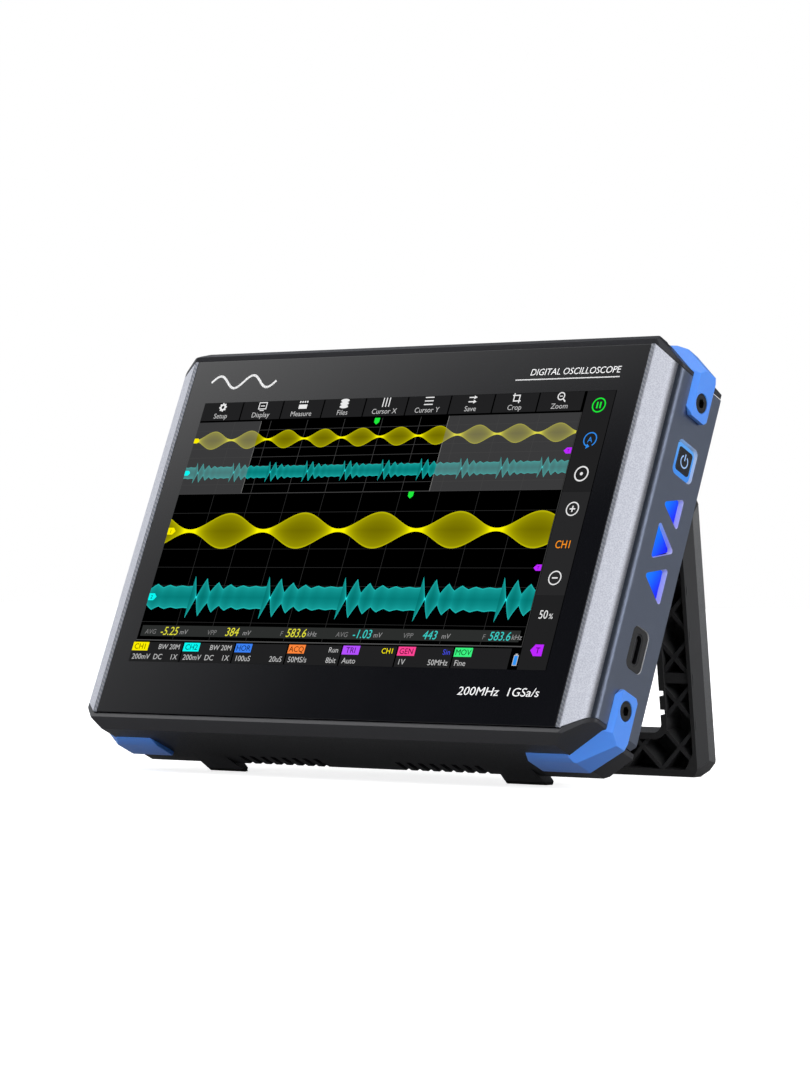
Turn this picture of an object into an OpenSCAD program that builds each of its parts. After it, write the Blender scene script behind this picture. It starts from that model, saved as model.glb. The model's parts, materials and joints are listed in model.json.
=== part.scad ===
// Tablet oscilloscope standing on two front feet and a fold-out kickstand.
// The case is drawn upright, in millimetres: X to the right, Y back from the glass and
// Z up, from the middle of the glass's bottom edge. lean_back() tilts all of it back on
// its feet and puts the origin on the ground under the middle of its box.

/* [Case] */
// Width over the two metal side rails
case_w = 187; // [186:0.5:190]
// Width of the cover glass
glass_w = 169.3; // [168:0.1:169.6]
// Height of the cover glass
glass_h = 117.1; // [116:0.1:118]
// Depth of the side rails
rail_d = 27.4; // [27:0.1:28]
// Depth of the top and bottom caps
cap_d = 29.6; // [29:0.1:30]
// How far a cap reaches past the edge of the glass
cap_h = 4.2; // [4:0.1:4.6]
// Width of the flat front lip beside the glass
lip_w = 1.35; // [1:0.05:1.6]
// Wall thickness of the metal rails
rail_wall = 2; // [1.8:0.1:2.2]
// Angle of the slanted facet beside the glass
facet_angle = 27; // [26:0.5:28]
// Radius between the slanted facet and the side
round_r = 5.2; // [5:0.1:5.4]

/* [Kickstand] */
// Angle that the case leans back
lean = 23.76; // [23:0.01:24.5]
// Angle between the case and the open stand
stand_open = 30.8; // [30:0.1:31.5]
// Distance of the hinge behind the front of the glass
hinge_y = 32.5; // [32.5:0.1:33]
// Height of the hinge above the bottom edge of the glass
hinge_z = 114.4; // [114:0.1:114.6]
// Width of the stand
stand_w = 154.4; // [152:0.2:156]
// Thickness of the stand
stand_t = 9.8; // [9.6:0.1:9.9]
// Width of each side arm of the stand
arm_w = 13; // [12:0.1:14]
// Pitch of the diagonal ribs
rib_pitch = 13.3; // [12:0.1:16]

/* [Bumpers] */
// How far the corner bumpers stand proud of the sides
bumper_proud = 1.5; // [1.2:0.1:1.6]
// Height that a bumper covers up the side
bumper_leg = 16.6; // [16:0.1:18]
// Radius of the socket screw heads
screw_head_r = 2.75; // [2.5:0.05:2.8]

/* [Display] */
// Width of the lit area of the screen
lit_w = 154.2; // [150:0.1:155]
// Height of the lit area of the screen
lit_h = 85.9; // [84:0.1:88]
// Height of the lit area's bottom edge
lit_z = 16.64; // [16:0.01:17]

/* [Sockets and key] */
// Spacing of the three coaxial jacks
jack_pitch = 28; // [26:1:29]
// Outer radius of a jack's barrel
jack_r = 4.8; // [4.75:0.05:4.85]
// Width of the square power key
key_w = 7.1; // [6.8:0.1:7.4]
// Length of the charging slot
usb_w = 9.07; // [9:0.01:9.1]

/* [Vents] */
// Slots in each of the two vent groups
vent_count = 8; // [6:1:8]
// Pitch of the vent slots
vent_pitch = 4.07; // [3.8:0.01:4.1]
// Width of a vent slot
vent_w = 1.8; // [1.4:0.1:2]

/* [Hidden] */
gap = 0.15;
run_fit = 0.05;
over = 1;
side_x = case_w / 2;
lip_x = glass_w / 2 + lip_w;
facet_x = side_x - round_r * (1 - sin(facet_angle));
facet_y = (facet_x - lip_x) * tan(facet_angle);
round_y = facet_y + round_r * cos(facet_angle);
edge = 0.4;
corner_x = 9.5;
corner_z = 8.2;
corner_angle = atan2(corner_z, corner_x);
part_z = 5.3;
cap_lip = 1.6;
cap_bevel = 3.4;
rim_set = 0.5;
cap_wall = 1.8;
cap_in_x = 83;
cap_in_y = [2.4, 24.9];
relief = [2.1, 21.8];
ground = 18.1;
mid_y = 46.55;
glass_t = 1.1;
lcd_back = 4.8;
ledge_x = 81;
ledge_y = [1.3, 2.6];
frame_y = [5.2, 6.7];
board_y = [13.4, 15];
board_z = [14, 102.5];
cover_y = [25.4, 27.3];
stand_y = hinge_y - stand_t / 2;
barrel_r = 4.9;
lug_x = [44, 49.8];
knuckle_x = [50, 60];
outer_lug_x = [60.2, 66];
pin_r = 1.5;
window_s = [50, 97];
pocket_s = 41;
band_s = [79.2, 82.2];
rib_t = 1.2;
rib_fall = 4.7;
rib_climb = 144.6;
notch_s = [85.3, 90.9];
notch_h = 1.6;
rim_t = 2;
skin_t = 2;
stand_len = 110.43;
stand_top = [66, 6];
stand_shoulder = 33;
contact_s = 109.92;
lug_drop = 7;
block_x = 61;
block_z = [21, 62];
block_y = 34;
fan_c = [36, 41.5];
fan_w = 35;
fan_y = [22.2, 32.2];
bumper_y = [9.6, 21.5];
bumper_drop = 1.4;
bevel_y = [10.4, 11.1, 12.6, 12.9];
bumper_far = [50, 110];
bumper_screw = [16.35, 11.4];
shank_r = 1.5;
head_sink = 1.5;
boss_x = 85;
key_c = [17.3, 88];
key_travel = 0.7;
key_back = 90.35;
key_hole = [12, 82.6, 22.4, 93.3];
seat_x = 91.2;
usb_c = [16.65, 29.9];
usb_t = 3.2;
usb_back = 85.8;
jack_y = 15.5;
jack_x = [-jack_pitch, 0, jack_pitch];
jack_top = 125;
jack_neck_r = 4.55;
jack_bore_r = 4;
contact_r = 1.1;
jack_neck_top = 120.7;
pocket = [45, 7.5, 23.5, 111.3];
pocket_wall = 1.6;
cover_screw_x = 74;
cover_screw_z = [7.5, 109];
board_screw = [70, 20, 97];
foot_x = [50.5, 62.8];
foot_y = 22.3;
foot_z = -6.2;
pad_t = 0.9;
lights = [[12, 21.2, 73, 9.7], [22.2, 12.3, 61.8, 11.4], [11.4, 21.6, 50.9, 11.4]];
light_gap = 0.8;
ring_depth = 0.4;
light_depth = 1.1;
on_board = board_y[1] + 0.02;
chip_top = board_y[1] + 1.6;
screw_tip = 10;
cover_hole_r = 1.35;
boss_top = 22.4;
head_seat = 25.05;
head_r = 2.4;
jack_foot = 103.4;
$fn = 64;

// ---- Placing and drawing helpers ----

module lean_back() {
    translate([0, -mid_y, ground]) rotate([-lean, 0, 0]) children();
}

// Turns the closed stand out to the angle it rests at.
module stand_out() {
    lean_back() translate([0, hinge_y, hinge_z]) rotate([stand_open, 0, 0])
        translate([0, -hinge_y, -hinge_z]) children();
}

// A flat shape in X and Z, drawn out along Y.
module along_y(from, to) {
    translate([0, to, 0]) rotate([90, 0, 0]) linear_extrude(to - from) children();
}

// A flat shape in Y and Z, drawn out along X.
module along_x(from, to) {
    translate([from, 0, 0]) rotate([90, 0, 90]) linear_extrude(to - from) children();
}

// A flat shape in X and Y, drawn out along Z.
module along_z(from, to) {
    translate([0, 0, from]) linear_extrude(to - from) children();
}

// A block between two corners.
module block(low, high) {
    translate(low) cube(high - low);
}

module flip_x(on) {
    if (on) mirror([1, 0, 0]) children();
    else children();
}

// Turns the case's bottom edge into its top edge.
module flip_z(on) {
    if (on) translate([0, 0, glass_h]) mirror([0, 0, 1]) children();
    else children();
}

module both_sides() {
    children();
    mirror([1, 0, 0]) children();
}

// A convex outline whose corners are round, grown by r all round.
module round_poly(points, r) {
    polygon(points);
    for (i = [0 : len(points) - 1]) {
        a = points[i];
        b = points[(i + 1) % len(points)];
        translate(a) circle(r);
        translate(a) rotate(atan2(b[1] - a[1], b[0] - a[0]))
            translate([0, -r]) square([norm(b - a), 2 * r]);
    }
}

module round_square(w, h, r) {
    dx = w / 2 - r;
    dy = h / 2 - r;
    round_poly([[-dx, -dy], [dx, -dy], [dx, dy], [-dx, dy]], r);
}

// ---- Case outline ----

// Plan of a rail from the lip round to the back, as a full slab.
module rail_slab() {
    polygon([
        [ledge_x, 0], [lip_x, 0], [facet_x, facet_y], [side_x, round_y],
        [side_x, rail_d - edge], [side_x - edge, rail_d], [ledge_x, rail_d]
    ]);
    side_round();
}

// The round between the slanted facet and the side.
module side_round() {
    translate([side_x - round_r, round_y]) circle(round_r);
}

// Plan of the hollow behind the glass ledge.
module rail_hollow() {
    back = rail_d + over;
    inner = side_x - rail_wall;
    // the hollow's front corner is cut at 45 degrees
    slant = lip_x - rail_wall * sqrt(2);
    polygon([
        [ledge_x - over, ledge_y[1]], [slant + ledge_y[1], ledge_y[1]],
        [inner, inner - slant], [inner, back], [ledge_x - over, back]
    ]);
}

// Plan of a rail, with a fine groove between the lip and the facet.
module rail_profile() {
    glass_edge = glass_w / 2 + gap;
    groove = [0.35, 0.8];
    groove_at = [lip_x + 0.25, 0.1];
    difference() {
        rail_slab();
        rail_hollow();
        translate([ledge_x - over, -over])
            square([glass_edge - ledge_x + over, ledge_y[0] + over]);
        translate(groove_at) rotate(facet_angle) square(groove, center = true);
    }
}

// Front view of the part of the case that the rails fill, right side.
module rail_zone() {
    top = glass_h;
    polygon([
        [ledge_x - over, 0], [lip_x, 0], [side_x, part_z], [side_x + over, part_z],
        [side_x + over, top - part_z], [side_x, top - part_z], [lip_x, top],
        [ledge_x - over, top]
    ]);
}

module screw_boss() {
    y = bumper_screw[0];
    half = 3.5;
    for (z = [bumper_screw[1], glass_h - bumper_screw[1]])
        block([boss_x, y - half, z - half], [side_x - rail_wall + 0.2, y + half, z + half]);
}

// Shank and head holes of the bumper screws, right side.
module screw_holes(head_gap) {
    for (z = [bumper_screw[1], glass_h - bumper_screw[1]])
        translate([0, bumper_screw[0], z]) rotate([0, 90, 0]) {
            cylinder(h = side_x + over, r = shank_r + run_fit);
            translate([0, 0, side_x - head_sink])
                cylinder(h = bumper_proud + head_sink + over, r = screw_head_r + head_gap);
        }
}

module rail() {
    difference() {
        union() {
            intersection() {
                along_z(-over, glass_h + over) rail_profile();
                along_y(-over, rail_d + over) rail_zone();
            }
            screw_boss();
        }
        screw_holes(0.1);
    }
}

// ---- Caps ----

module cap_plan() {
    back_cut = 1.5;
    polygon([
        [-lip_x, 0], [lip_x, 0], [facet_x, facet_y], [side_x, round_y],
        [side_x, cap_d - back_cut], [side_x - back_cut, cap_d], [back_cut - side_x, cap_d],
        [-side_x, cap_d - back_cut], [-side_x, round_y], [-facet_x, facet_y]
    ]);
    side_round();
    mirror([1, 0]) side_round();
}

module cap_front_view() {
    flat_x = side_x - corner_x;
    polygon([
        [-flat_x, -cap_h], [flat_x, -cap_h], [side_x, corner_z - cap_h],
        [side_x, part_z - gap], [lip_x, -gap], [-lip_x, -gap],
        [-side_x, part_z - gap], [-side_x, corner_z - cap_h]
    ]);
}

// Side view: a rim that leans back to the glass, a bevel and the underside.
module cap_side_view() {
    polygon([
        [0, -cap_lip], [cap_bevel, -cap_h], [cap_d - 1, -cap_h], [cap_d, 1 - cap_h],
        [cap_d, part_z + over], [rim_set, part_z + over], [rim_set, 0]
    ]);
}

// Below the rim, cuts the same bevel along the slanted facet as along the front.
module facet_bevel() {
    slope = atan2(cap_h - cap_lip, cap_bevel);
    far = 30;
    translate([lip_x, 0, -cap_lip]) rotate(facet_angle) rotate([-slope, 0, 0])
        block([-far, -far, -far], [far, far, 0]);
}

// The bottom cap's solid shape; the top cap is the same shape turned over.
module cap_solid() {
    difference() {
        intersection() {
            along_z(-cap_h - over, part_z + over) cap_plan();
            along_y(-over, cap_d + over) cap_front_view();
            along_x(-side_x - over, side_x + over) cap_side_view();
        }
        both_sides() facet_bevel();
    }
}

module cap_hollow() {
    block([-cap_in_x, cap_in_y[0], cap_wall - cap_h], [cap_in_x, cap_in_y[1], over]);
}

// The rear corner below a rail's end, where the rail's cut edge shows.
module corner_relief() {
    block([side_x - relief[0], relief[1], -cap_h - over], [side_x + over, cap_d + over, part_z]);
}

module vent_slots() {
    first = 15.3;
    for (i = [0 : vent_count - 1])
        translate([first + i * vent_pitch - vent_w / 2, foot_y, -cap_h - over])
            cube([vent_w, cap_d - foot_y + over, cap_wall + 1.6]);
}

// A front foot, tapered from the underside back and down to the ground.
module foot() {
    reach = 34.6;
    slope = 0.158;
    root = -1.6;
    flare = 2.5;
    intersection() {
        along_x(foot_x[0] - 10, foot_x[1] + 10) polygon([
            [foot_y, -cap_h + 0.01], [reach, -cap_h - (reach - foot_y) * slope],
            [reach, 2 * root - 0.2], [cap_d - 0.5, root], [foot_y, root]
        ]);
        along_y(foot_y - over, reach + over) polygon([
            [foot_x[0], 0], [foot_x[0], -cap_h], [foot_x[0] - flare, foot_z],
            [foot_x[1] - 0.3, foot_z], [foot_x[1], -cap_h], [foot_x[1], 0]
        ]);
        above_ground(0, 10);
    }
}

// A level slab from one height above the ground to another.
module above_ground(from, to) {
    rotate([lean, 0, 0]) block([-100, -60, from - ground], [100, 140, to - ground]);
}

module bottom_cap() {
    color([0.17, 0.17, 0.18]) lean_back() {
        difference() {
            cap_solid();
            cap_hollow();
            both_sides() {
                corner_relief();
                vent_slots();
            }
        }
        both_sides() difference() {
            foot();
            above_ground(-over, pad_t);
            block([0, 0, cap_wall - cap_h], [side_x, cap_in_y[1], over]);
        }
    }
}

module foot_pads() {
    color([0.1, 0.1, 0.1]) lean_back() both_sides() intersection() {
        foot();
        above_ground(0, pad_t);
    }
}

// End view of a pad on the top cap, with slanted sides.
module pad_end(left, right, rise) {
    z = glass_h + cap_h;
    polygon([
        [left, z - 0.1], [left + rise, z + rise], [right - rise, z + rise], [right, z - 0.1]
    ]);
}

// A raised pad on the top cap, clear of the bumper behind it.
module top_pad() {
    rise = 0.8;
    y = [5, bumper_y[0] - 0.5, 26.8];
    x = [61, 77, side_x - corner_x];
    along_y(y[0], y[1] + 0.1) pad_end(x[0], x[2], rise);
    along_y(y[1], y[2]) pad_end(x[0], x[1], rise);
}

module top_cap() {
    floor_z = pocket[3];
    above = glass_h + 2 * cap_h;
    hinge_room = 80;
    color([0.17, 0.17, 0.18]) lean_back() difference() {
        union() {
            difference() {
                flip_z(true) cap_solid();
                flip_z(true) cap_hollow();
            }
            both_sides() top_pad();
            block([-pocket[0] - pocket_wall, pocket[1] - pocket_wall, floor_z - pocket_wall],
                  [pocket[0] + pocket_wall, pocket[2] + pocket_wall, glass_h + cap_h]);
        }
        block([-pocket[0], pocket[1], floor_z], [pocket[0], pocket[2], above]);
        for (x = jack_x) translate([x, jack_y, floor_z - pocket_wall - over])
            cylinder(h = pocket_wall + 2 * over, r = jack_neck_r + gap);
        block([-hinge_room, cover_y[1], glass_h - over], [hinge_room, cap_d + over, above]);
        flip_z(true) both_sides() corner_relief();
    }
}

// ---- Back cover ----

module cover_outline() {
    slope = part_z / (side_x - lip_x);
    x1 = side_x - rail_wall - gap;
    z1 = (x1 - lip_x) * slope + gap;
    top = glass_h;
    polygon([
        [-lip_x, gap], [lip_x, gap], [x1, z1], [x1, top - z1], [lip_x, top - gap],
        [-lip_x, top - gap], [-x1, top - z1], [-x1, z1]
    ]);
}

// Raised housing for the battery and the fan, inside the stand's window.
module cover_block(inset, back) {
    x = block_x - inset;
    z = [block_z[0] + inset, block_z[1] - inset];
    cut = 1.5;
    intersection() {
        along_z(z[0], z[1]) polygon([
            [-x, cover_y[0] - over], [x, cover_y[0] - over], [x, back - cut],
            [x - cut, back], [cut - x, back], [-x, back - cut]
        ]);
        along_x(-x, x) polygon([
            [cover_y[0] - over, z[0]], [back - cut, z[0]], [back, z[0] + cut],
            [back, z[1] - cut], [back - cut, z[1]], [cover_y[0] - over, z[1]]
        ]);
    }
}

module hinge_lug(x) {
    along_x(x[0], x[1]) {
        translate([hinge_y, hinge_z]) circle(barrel_r);
        translate([cover_y[1] - 0.3, hinge_z - barrel_r])
            square([hinge_y - cover_y[1] + 0.3, glass_h - gap - hinge_z + barrel_r]);
    }
}

module fan_grille() {
    bar = 1.6;
    grille_r = 15.5;
    y = [fan_y[1] - over, block_y + over];
    intersection() {
        for (i = [-4 : 4])
            translate([fan_c[0] - grille_r, y[0], fan_c[1] + (2 * i - 0.5) * bar])
                cube([2 * grille_r, y[1] - y[0], bar]);
        translate([fan_c[0], y[1], fan_c[1]]) rotate([90, 0, 0])
            cylinder(h = y[1] - y[0] + over, r = grille_r);
    }
}

module at_cover_screws() {
    for (x = [-cover_screw_x, cover_screw_x], z = cover_screw_z)
        translate([x, 0, z]) rotate([-90, 0, 0]) children();
}

module back_cover() {
    wall = 1.6;
    color([0.2, 0.21, 0.23]) lean_back() difference() {
        union() {
            difference() {
                union() {
                    along_y(cover_y[0], cover_y[1]) cover_outline();
                    cover_block(0, block_y);
                }
                cover_block(wall, block_y - wall);
                block([-block_x - over, 0, 0], [block_x + over, cover_y[0], glass_h]);
            }
            both_sides() {
                hinge_lug(lug_x);
                hinge_lug(outer_lug_x);
            }
            at_cover_screws() tube(boss_top, cover_y[0] + 0.2, 4);
        }
        fan_grille();
        both_sides() translate([lug_x[0] - over, hinge_y, hinge_z]) rotate([0, 90, 0])
            cylinder(h = outer_lug_x[1] - lug_x[0] + 2 * over, r = pin_r + 0.02);
        at_cover_screws() {
            tube(boss_top - over, cover_y[1] + over, cover_hole_r);
            tube(head_seat - 0.05, cover_y[1] + over, head_r + 0.1);
        }
    }
}

module cover_screws() {
    color([0.15, 0.15, 0.16]) lean_back() at_cover_screws() difference() {
        union() {
            tube(screw_tip, head_seat + 0.05, 1.2);
            tube(head_seat, head_seat + 1.8, head_r);
        }
        translate([0, 0, head_seat + 0.95]) cylinder(h = 2, r = 1.1, $fn = 6);
    }
}

// ---- Corner bumpers ----

// Front view of a bumper, whose slanted side runs between two of its corners.
module bumper_front_view(corner) {
    out_x = side_x + bumper_proud;
    out_z = -cap_h - bumper_drop;
    far = bumper_far[0];
    polygon([[far, out_z], [corner[0], out_z], [out_x, corner[1]], [out_x, far], [far, far]]);
}

// The case's own corner, which the bumper fits round.
module corner_core() {
    flat_x = side_x - corner_x;
    far = bumper_far[0] - over;
    along_y(0, cap_d + over) polygon([
        [far, -cap_h], [flat_x, -cap_h], [side_x, corner_z - cap_h], [side_x, far], [far, far]
    ]);
}

// Bevels both long edges of one leg: the leg's inner face is at Z = 0 here.
module leg_bevel(front, front_top) {
    far = bumper_far[1];
    top = 4;
    slope = (front_top - front) / bumper_proud;
    polygon([
        [-far, front - slope * far], [top, front + slope * top],
        [top, bumper_y[1] - 0.5 * top], [-far, bumper_y[1] + 0.5 * far]
    ]);
}

// One bumper, cut to its bevels, the end of its upper leg and the end of its lower leg.
module bumper_shape(leg_end, corner) {
    low = -10;
    far = bumper_far[1];
    rear = bumper_y[1];
    difference() {
        intersection() {
            along_y(bumper_y[0], bumper_y[1]) bumper_front_view(corner);
            along_z(2 * low, far) translate([side_x, 0]) leg_bevel(bevel_y[1], bevel_y[2]);
            translate([0, 0, -cap_h]) rotate([0, 90, 0]) along_z(bumper_far[0], far)
                leg_bevel(bumper_y[0], bevel_y[3]);
            translate([side_x - corner_x, 0, -cap_h]) rotate([0, 90 - corner_angle, 0])
                along_z(-far, far) leg_bevel(bevel_y[0], bevel_y[3]);
            along_x(bumper_far[0], far) polygon([
                [0, low], [0, 3], [bevel_y[1], bumper_leg - 2.2], [bevel_y[3], bumper_leg],
                [rear - 1.9, bumper_leg], [rear, bumper_leg - 1.8], [rear, low]
            ]);
            along_z(2 * low, far) polygon([
                [leg_end + 3, 0], [leg_end, bevel_y[3]], [leg_end, rear - 1.1],
                [leg_end + 1.2, rear + over], [far, rear + over], [far, 0]
            ]);
        }
        corner_core();
        screw_holes(0.15);
    }
}

module bumper(left, top) {
    leg_end = top ? 78 : 68.7;
    corner = top ? [86.7, 1.6] : [84.9, 1];
    color([0.22, 0.5, 0.95]) lean_back() flip_x(left) flip_z(top)
        bumper_shape(leg_end, corner);
}

module bumper_top_left() {
    bumper(true, true);
}

module bumper_top_right() {
    bumper(false, true);
}

module bumper_bottom_left() {
    bumper(true, false);
}

module bumper_bottom_right() {
    bumper(false, false);
}

module bumper_screws() {
    z_ends = [bumper_screw[1], glass_h - bumper_screw[1]];
    seat = side_x - head_sink;
    tip = boss_x - over;
    color([0.12, 0.12, 0.13]) lean_back() both_sides() for (z = z_ends)
        translate([0, bumper_screw[0], z]) rotate([0, 90, 0]) difference() {
            union() {
                tube(tip, seat + 0.1, shank_r);
                tube(seat, seat + 2.8, screw_head_r);
            }
            translate([0, 0, seat + 1.3]) cylinder(h = 4, r = 1.45, $fn = 6);
        }
}

// ---- Rails and what sits in them ----

module rail_left() {
    color([0.45, 0.48, 0.55]) lean_back() mirror([1, 0, 0]) rail();
}

// Points of the arc that rounds corner b of a convex outline, anticlockwise.
function corner_arc(a, b, c, r) =
    let (
        from = atan2(b[1] - a[1], b[0] - a[0]) - 90,
        to = atan2(c[1] - b[1], c[0] - b[0]) - 90,
        turn = to > from ? to - from : to - from + 360,
        steps = 8
    )
    [for (i = [0 : steps]) b + r * [cos(from + turn * i / steps), sin(from + turn * i / steps)]];

// Outline of a status light: an apex, an upright edge, a height and a width.
module light_outline(light, grow) {
    r = 0.8;
    way = sign(light[1] - light[0]);
    half = light[3] / 2 - r * 1.6;
    apex = [light[0] + way * r * 1.9, light[2]];
    low = [light[1] - way * r, light[2] - way * half];
    high = [light[1] - way * r, light[2] + way * half];
    polygon(concat(
        corner_arc(high, apex, low, r + grow), corner_arc(apex, low, high, r + grow),
        corner_arc(low, high, apex, r + grow)
    ));
}

module usb_slot(grow) {
    r = usb_t / 2 + grow;
    half = usb_w / 2 - usb_t / 2;
    translate(usb_c) {
        translate([0, half]) circle(r);
        translate([0, -half]) circle(r);
        square([2 * r, 2 * half], center = true);
    }
}

// The charging socket's trim, a rounded oblong.
module trim_outline(grow) {
    translate(usb_c) round_square(8.1 + 2 * grow, 12.7 + 2 * grow, 2.2 + grow);
}

module rail_right() {
    color([0.45, 0.48, 0.55]) lean_back() difference() {
        rail();
        along_x(side_x - 6, side_x + over) {
            key_hole_outline(0);
            for (light = lights) light_outline(light, run_fit);
            trim_outline(run_fit);
        }
    }
}

// A light's own outline: its opening in the rail, less a gap along the rear.
function lit_part(light) =
    let (share = 1 - light_gap / abs(light[1] - light[0]))
    light[0] < light[1]
        ? [light[0], light[1] - light_gap, light[2], light[3] * share]
        : [light[0] - light_gap, light[1], light[2], light[3]];

module status_light(i) {
    color([0.05, 0.25, 1]) lean_back() along_x(key_back, side_x - light_depth)
        light_outline(lit_part(lights[i]), 0);
}

module status_light_upper() {
    status_light(0);
}

module status_light_middle() {
    status_light(1);
}

module status_light_lower() {
    status_light(2);
}

module status_leds() {
    x = [82.4, 85.6];
    half = 1.4;
    color([0.9, 0.92, 0.8]) lean_back() for (light = lights)
        block([x[0], on_board, light[2] - half], [x[1], chip_top, light[2] + half]);
}

// Outline of the key's opening; less a gap along its rear and top, it is the ring's own.
module key_hole_outline(rear_gap) {
    fit = rear_gap > 0 ? run_fit : 0;
    low = [key_hole[0] + fit, key_hole[1] + fit];
    high = [key_hole[2] - rear_gap, key_hole[3] - rear_gap];
    translate((low + high) / 2) round_square(high[0] - low[0], high[1] - low[1], 1.9);
}

module power_light_ring() {
    inner = key_w + 0.2;
    color([0.45, 0.7, 1]) lean_back() along_x(seat_x, side_x - ring_depth) difference() {
        key_hole_outline(light_gap);
        translate(key_c) round_square(inner, inner, 1.1);
    }
}

module power_key() {
    flange = key_w + 1.1;
    color([0.1, 0.1, 0.11]) lean_back() {
        along_x(key_back + 0.5, side_x - 0.35) translate(key_c) round_square(key_w, key_w, 1);
        along_x(key_back, key_back + 0.6) translate(key_c) round_square(flange, flange, 1);
    }
}

// The switch behind the key; its button ends where the key's travel does.
module power_switch() {
    x = [83, 88.3];
    z = key_c[1];
    half = 3;
    tip = key_back - key_travel - 0.1;
    color([0.75, 0.75, 0.78]) lean_back() {
        block([x[0], on_board, z - half], [x[1], on_board + 3.4, z + half]);
        translate([0, key_c[0], z]) rotate([0, 90, 0]) tube(x[1] - 0.1, tip, 1.2);
    }
}

module usb_trim() {
    color([0.1, 0.1, 0.11]) lean_back() along_x(seat_x + 0.1, side_x - 0.2) difference() {
        trim_outline(0);
        usb_slot(0.06);
    }
}

module usb_shell() {
    wall = 0.3;
    color([0.7, 0.71, 0.73]) lean_back() difference() {
        along_x(usb_back, side_x - 0.4) usb_slot(0);
        along_x(usb_back + 0.5, side_x + over) usb_slot(-wall);
    }
}

module usb_tongue() {
    half = [0.35, 3.3];
    color([0.12, 0.12, 0.12]) lean_back()
        block([usb_back + 0.52, usb_c[0] - half[0], usb_c[1] - half[1]],
              [side_x - 1.1, usb_c[0] + half[0], usb_c[1] + half[1]]);
}

// ---- Kickstand, drawn closed against the back cover ----

function down(s) = hinge_z - s;

// Back view of the stand; it grows by the given amount.
module stand_outline(grow) {
    w = stand_w / 2 + grow;
    half = stand_top[0] + grow / 2;
    top = down(stand_top[1]) + grow;
    shoulder = down(stand_shoulder) + grow / 2;
    bottom = down(stand_len) - grow;
    cut = [3, 4.9];
    polygon([
        [-half, top], [half, top], [w, shoulder], [w, bottom + cut[1]], [w - cut[0], bottom],
        [cut[0] - w, bottom], [-w, bottom + cut[1]], [-w, shoulder]
    ]);
}

// Side view: flat contact strip at the bottom front, cut back towards the rear.
module stand_side() {
    back = stand_y + stand_t;
    strip = 4;
    top = stand_top[1] - 1;
    polygon([
        [stand_y, down(top)], [stand_y, down(contact_s)],
        [stand_y + strip, down(stand_len - 0.02)], [back - 1.8, down(stand_len - 1.2)],
        [back, down(stand_len - strip)],
        [back, down(top + 2)], [back - 1, down(top)]
    ]);
}

// Plan: each side comes to a ridge at mid thickness.
module stand_plan() {
    w = stand_w / 2;
    back = stand_y + stand_t;
    ridge = stand_y + 4.6;
    cut = [1.3, 1.1];
    polygon([
        [cut[0] - w, stand_y], [w - cut[0], stand_y], [w, ridge], [w - cut[1], back],
        [cut[1] - w, back], [-w, ridge]
    ]);
}

module window_outline(grow) {
    w = stand_w - 2 * arm_w + 2 * grow;
    h = window_s[1] - window_s[0] + 2 * grow;
    translate([0, down((window_s[0] + window_s[1]) / 2)]) round_square(w, h, 3 + grow);
}

// The sunk part of the front face, between the outer rim and the window's rim.
module stand_pocket() {
    back = stand_y + stand_t;
    along_y(stand_y - over, back - skin_t) difference() {
        intersection() {
            stand_outline(-rim_t - 0.6);
            translate([-side_x, down(stand_len)]) square([2 * side_x, stand_len - pocket_s]);
        }
        window_outline(rim_t);
    }
}

// Diagonal ribs both ways across one arm and half of the bottom bar.
module stand_ribs() {
    long = 240;
    for (k = [-3 : 6])
        translate([0, down(rib_fall + k * rib_pitch)]) rotate(-45)
            square([long, rib_t], center = true);
    for (k = [-5 : 3])
        translate([0, down(rib_climb + k * rib_pitch)]) rotate(45)
            square([long, rib_t], center = true);
}

module stand_lattice() {
    back = stand_y + stand_t;
    both_sides() along_y(stand_y + 0.5, back - skin_t + 0.1) {
        intersection() {
            stand_ribs();
            stand_outline(-1);
            translate([0, down(stand_len)]) square([side_x, stand_len - pocket_s + over]);
        }
        translate([stand_w / 2 - arm_w + 1, down(band_s[1])])
            square([arm_w - 2, band_s[1] - band_s[0]]);
    }
}

module stand_knuckle() {
    along_x(knuckle_x[0], knuckle_x[1]) {
        translate([hinge_y, hinge_z]) circle(barrel_r);
        translate([hinge_y - barrel_r, down(lug_drop)]) square([2 * barrel_r, lug_drop]);
    }
}

// Small clip notches in the window's side edge.
module window_notches() {
    x = stand_w / 2 - arm_w;
    for (s = notch_s)
        block([x - over, stand_y - over, down(s + notch_h / 2)],
              [x + 1.5, stand_y + stand_t + over, down(s - notch_h / 2)]);
}

module kickstand() {
    color([0.15, 0.15, 0.16]) stand_out() difference() {
        union() {
            difference() {
                intersection() {
                    along_y(stand_y, stand_y + stand_t) stand_outline(0);
                    along_x(-side_x, side_x) stand_side();
                    along_z(-over, hinge_z) stand_plan();
                }
                stand_pocket();
            }
            intersection() {
                stand_lattice();
                along_x(-side_x, side_x) stand_side();
            }
            both_sides() stand_knuckle();
        }
        along_y(0, 60) window_outline(0);
        both_sides() window_notches();
        both_sides() translate([knuckle_x[0] - over, hinge_y, hinge_z]) rotate([0, 90, 0])
            cylinder(h = knuckle_x[1] - knuckle_x[0] + 2 * over, r = pin_r + run_fit);
        both_sides() pad_seat();
    }
}

// Seat of a rubber strip let into the stand's contact edge.
module pad_seat() {
    x = [38, 66];
    block([x[0], stand_y + 0.9, down(stand_len + over)],
          [x[1], stand_y + 3.4, down(stand_len - 1.6)]);
}

module stand_pads() {
    color([0.09, 0.09, 0.09]) stand_out() both_sides() intersection() {
        pad_seat();
        along_x(-side_x, side_x) stand_side();
    }
}

module hinge_pins() {
    color([0.7, 0.7, 0.72]) lean_back() both_sides()
        translate([lug_x[0] + 0.3, hinge_y, hinge_z]) rotate([0, 90, 0])
            cylinder(h = outer_lug_x[1] - lug_x[0] - 0.6, r = pin_r);
}

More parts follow.
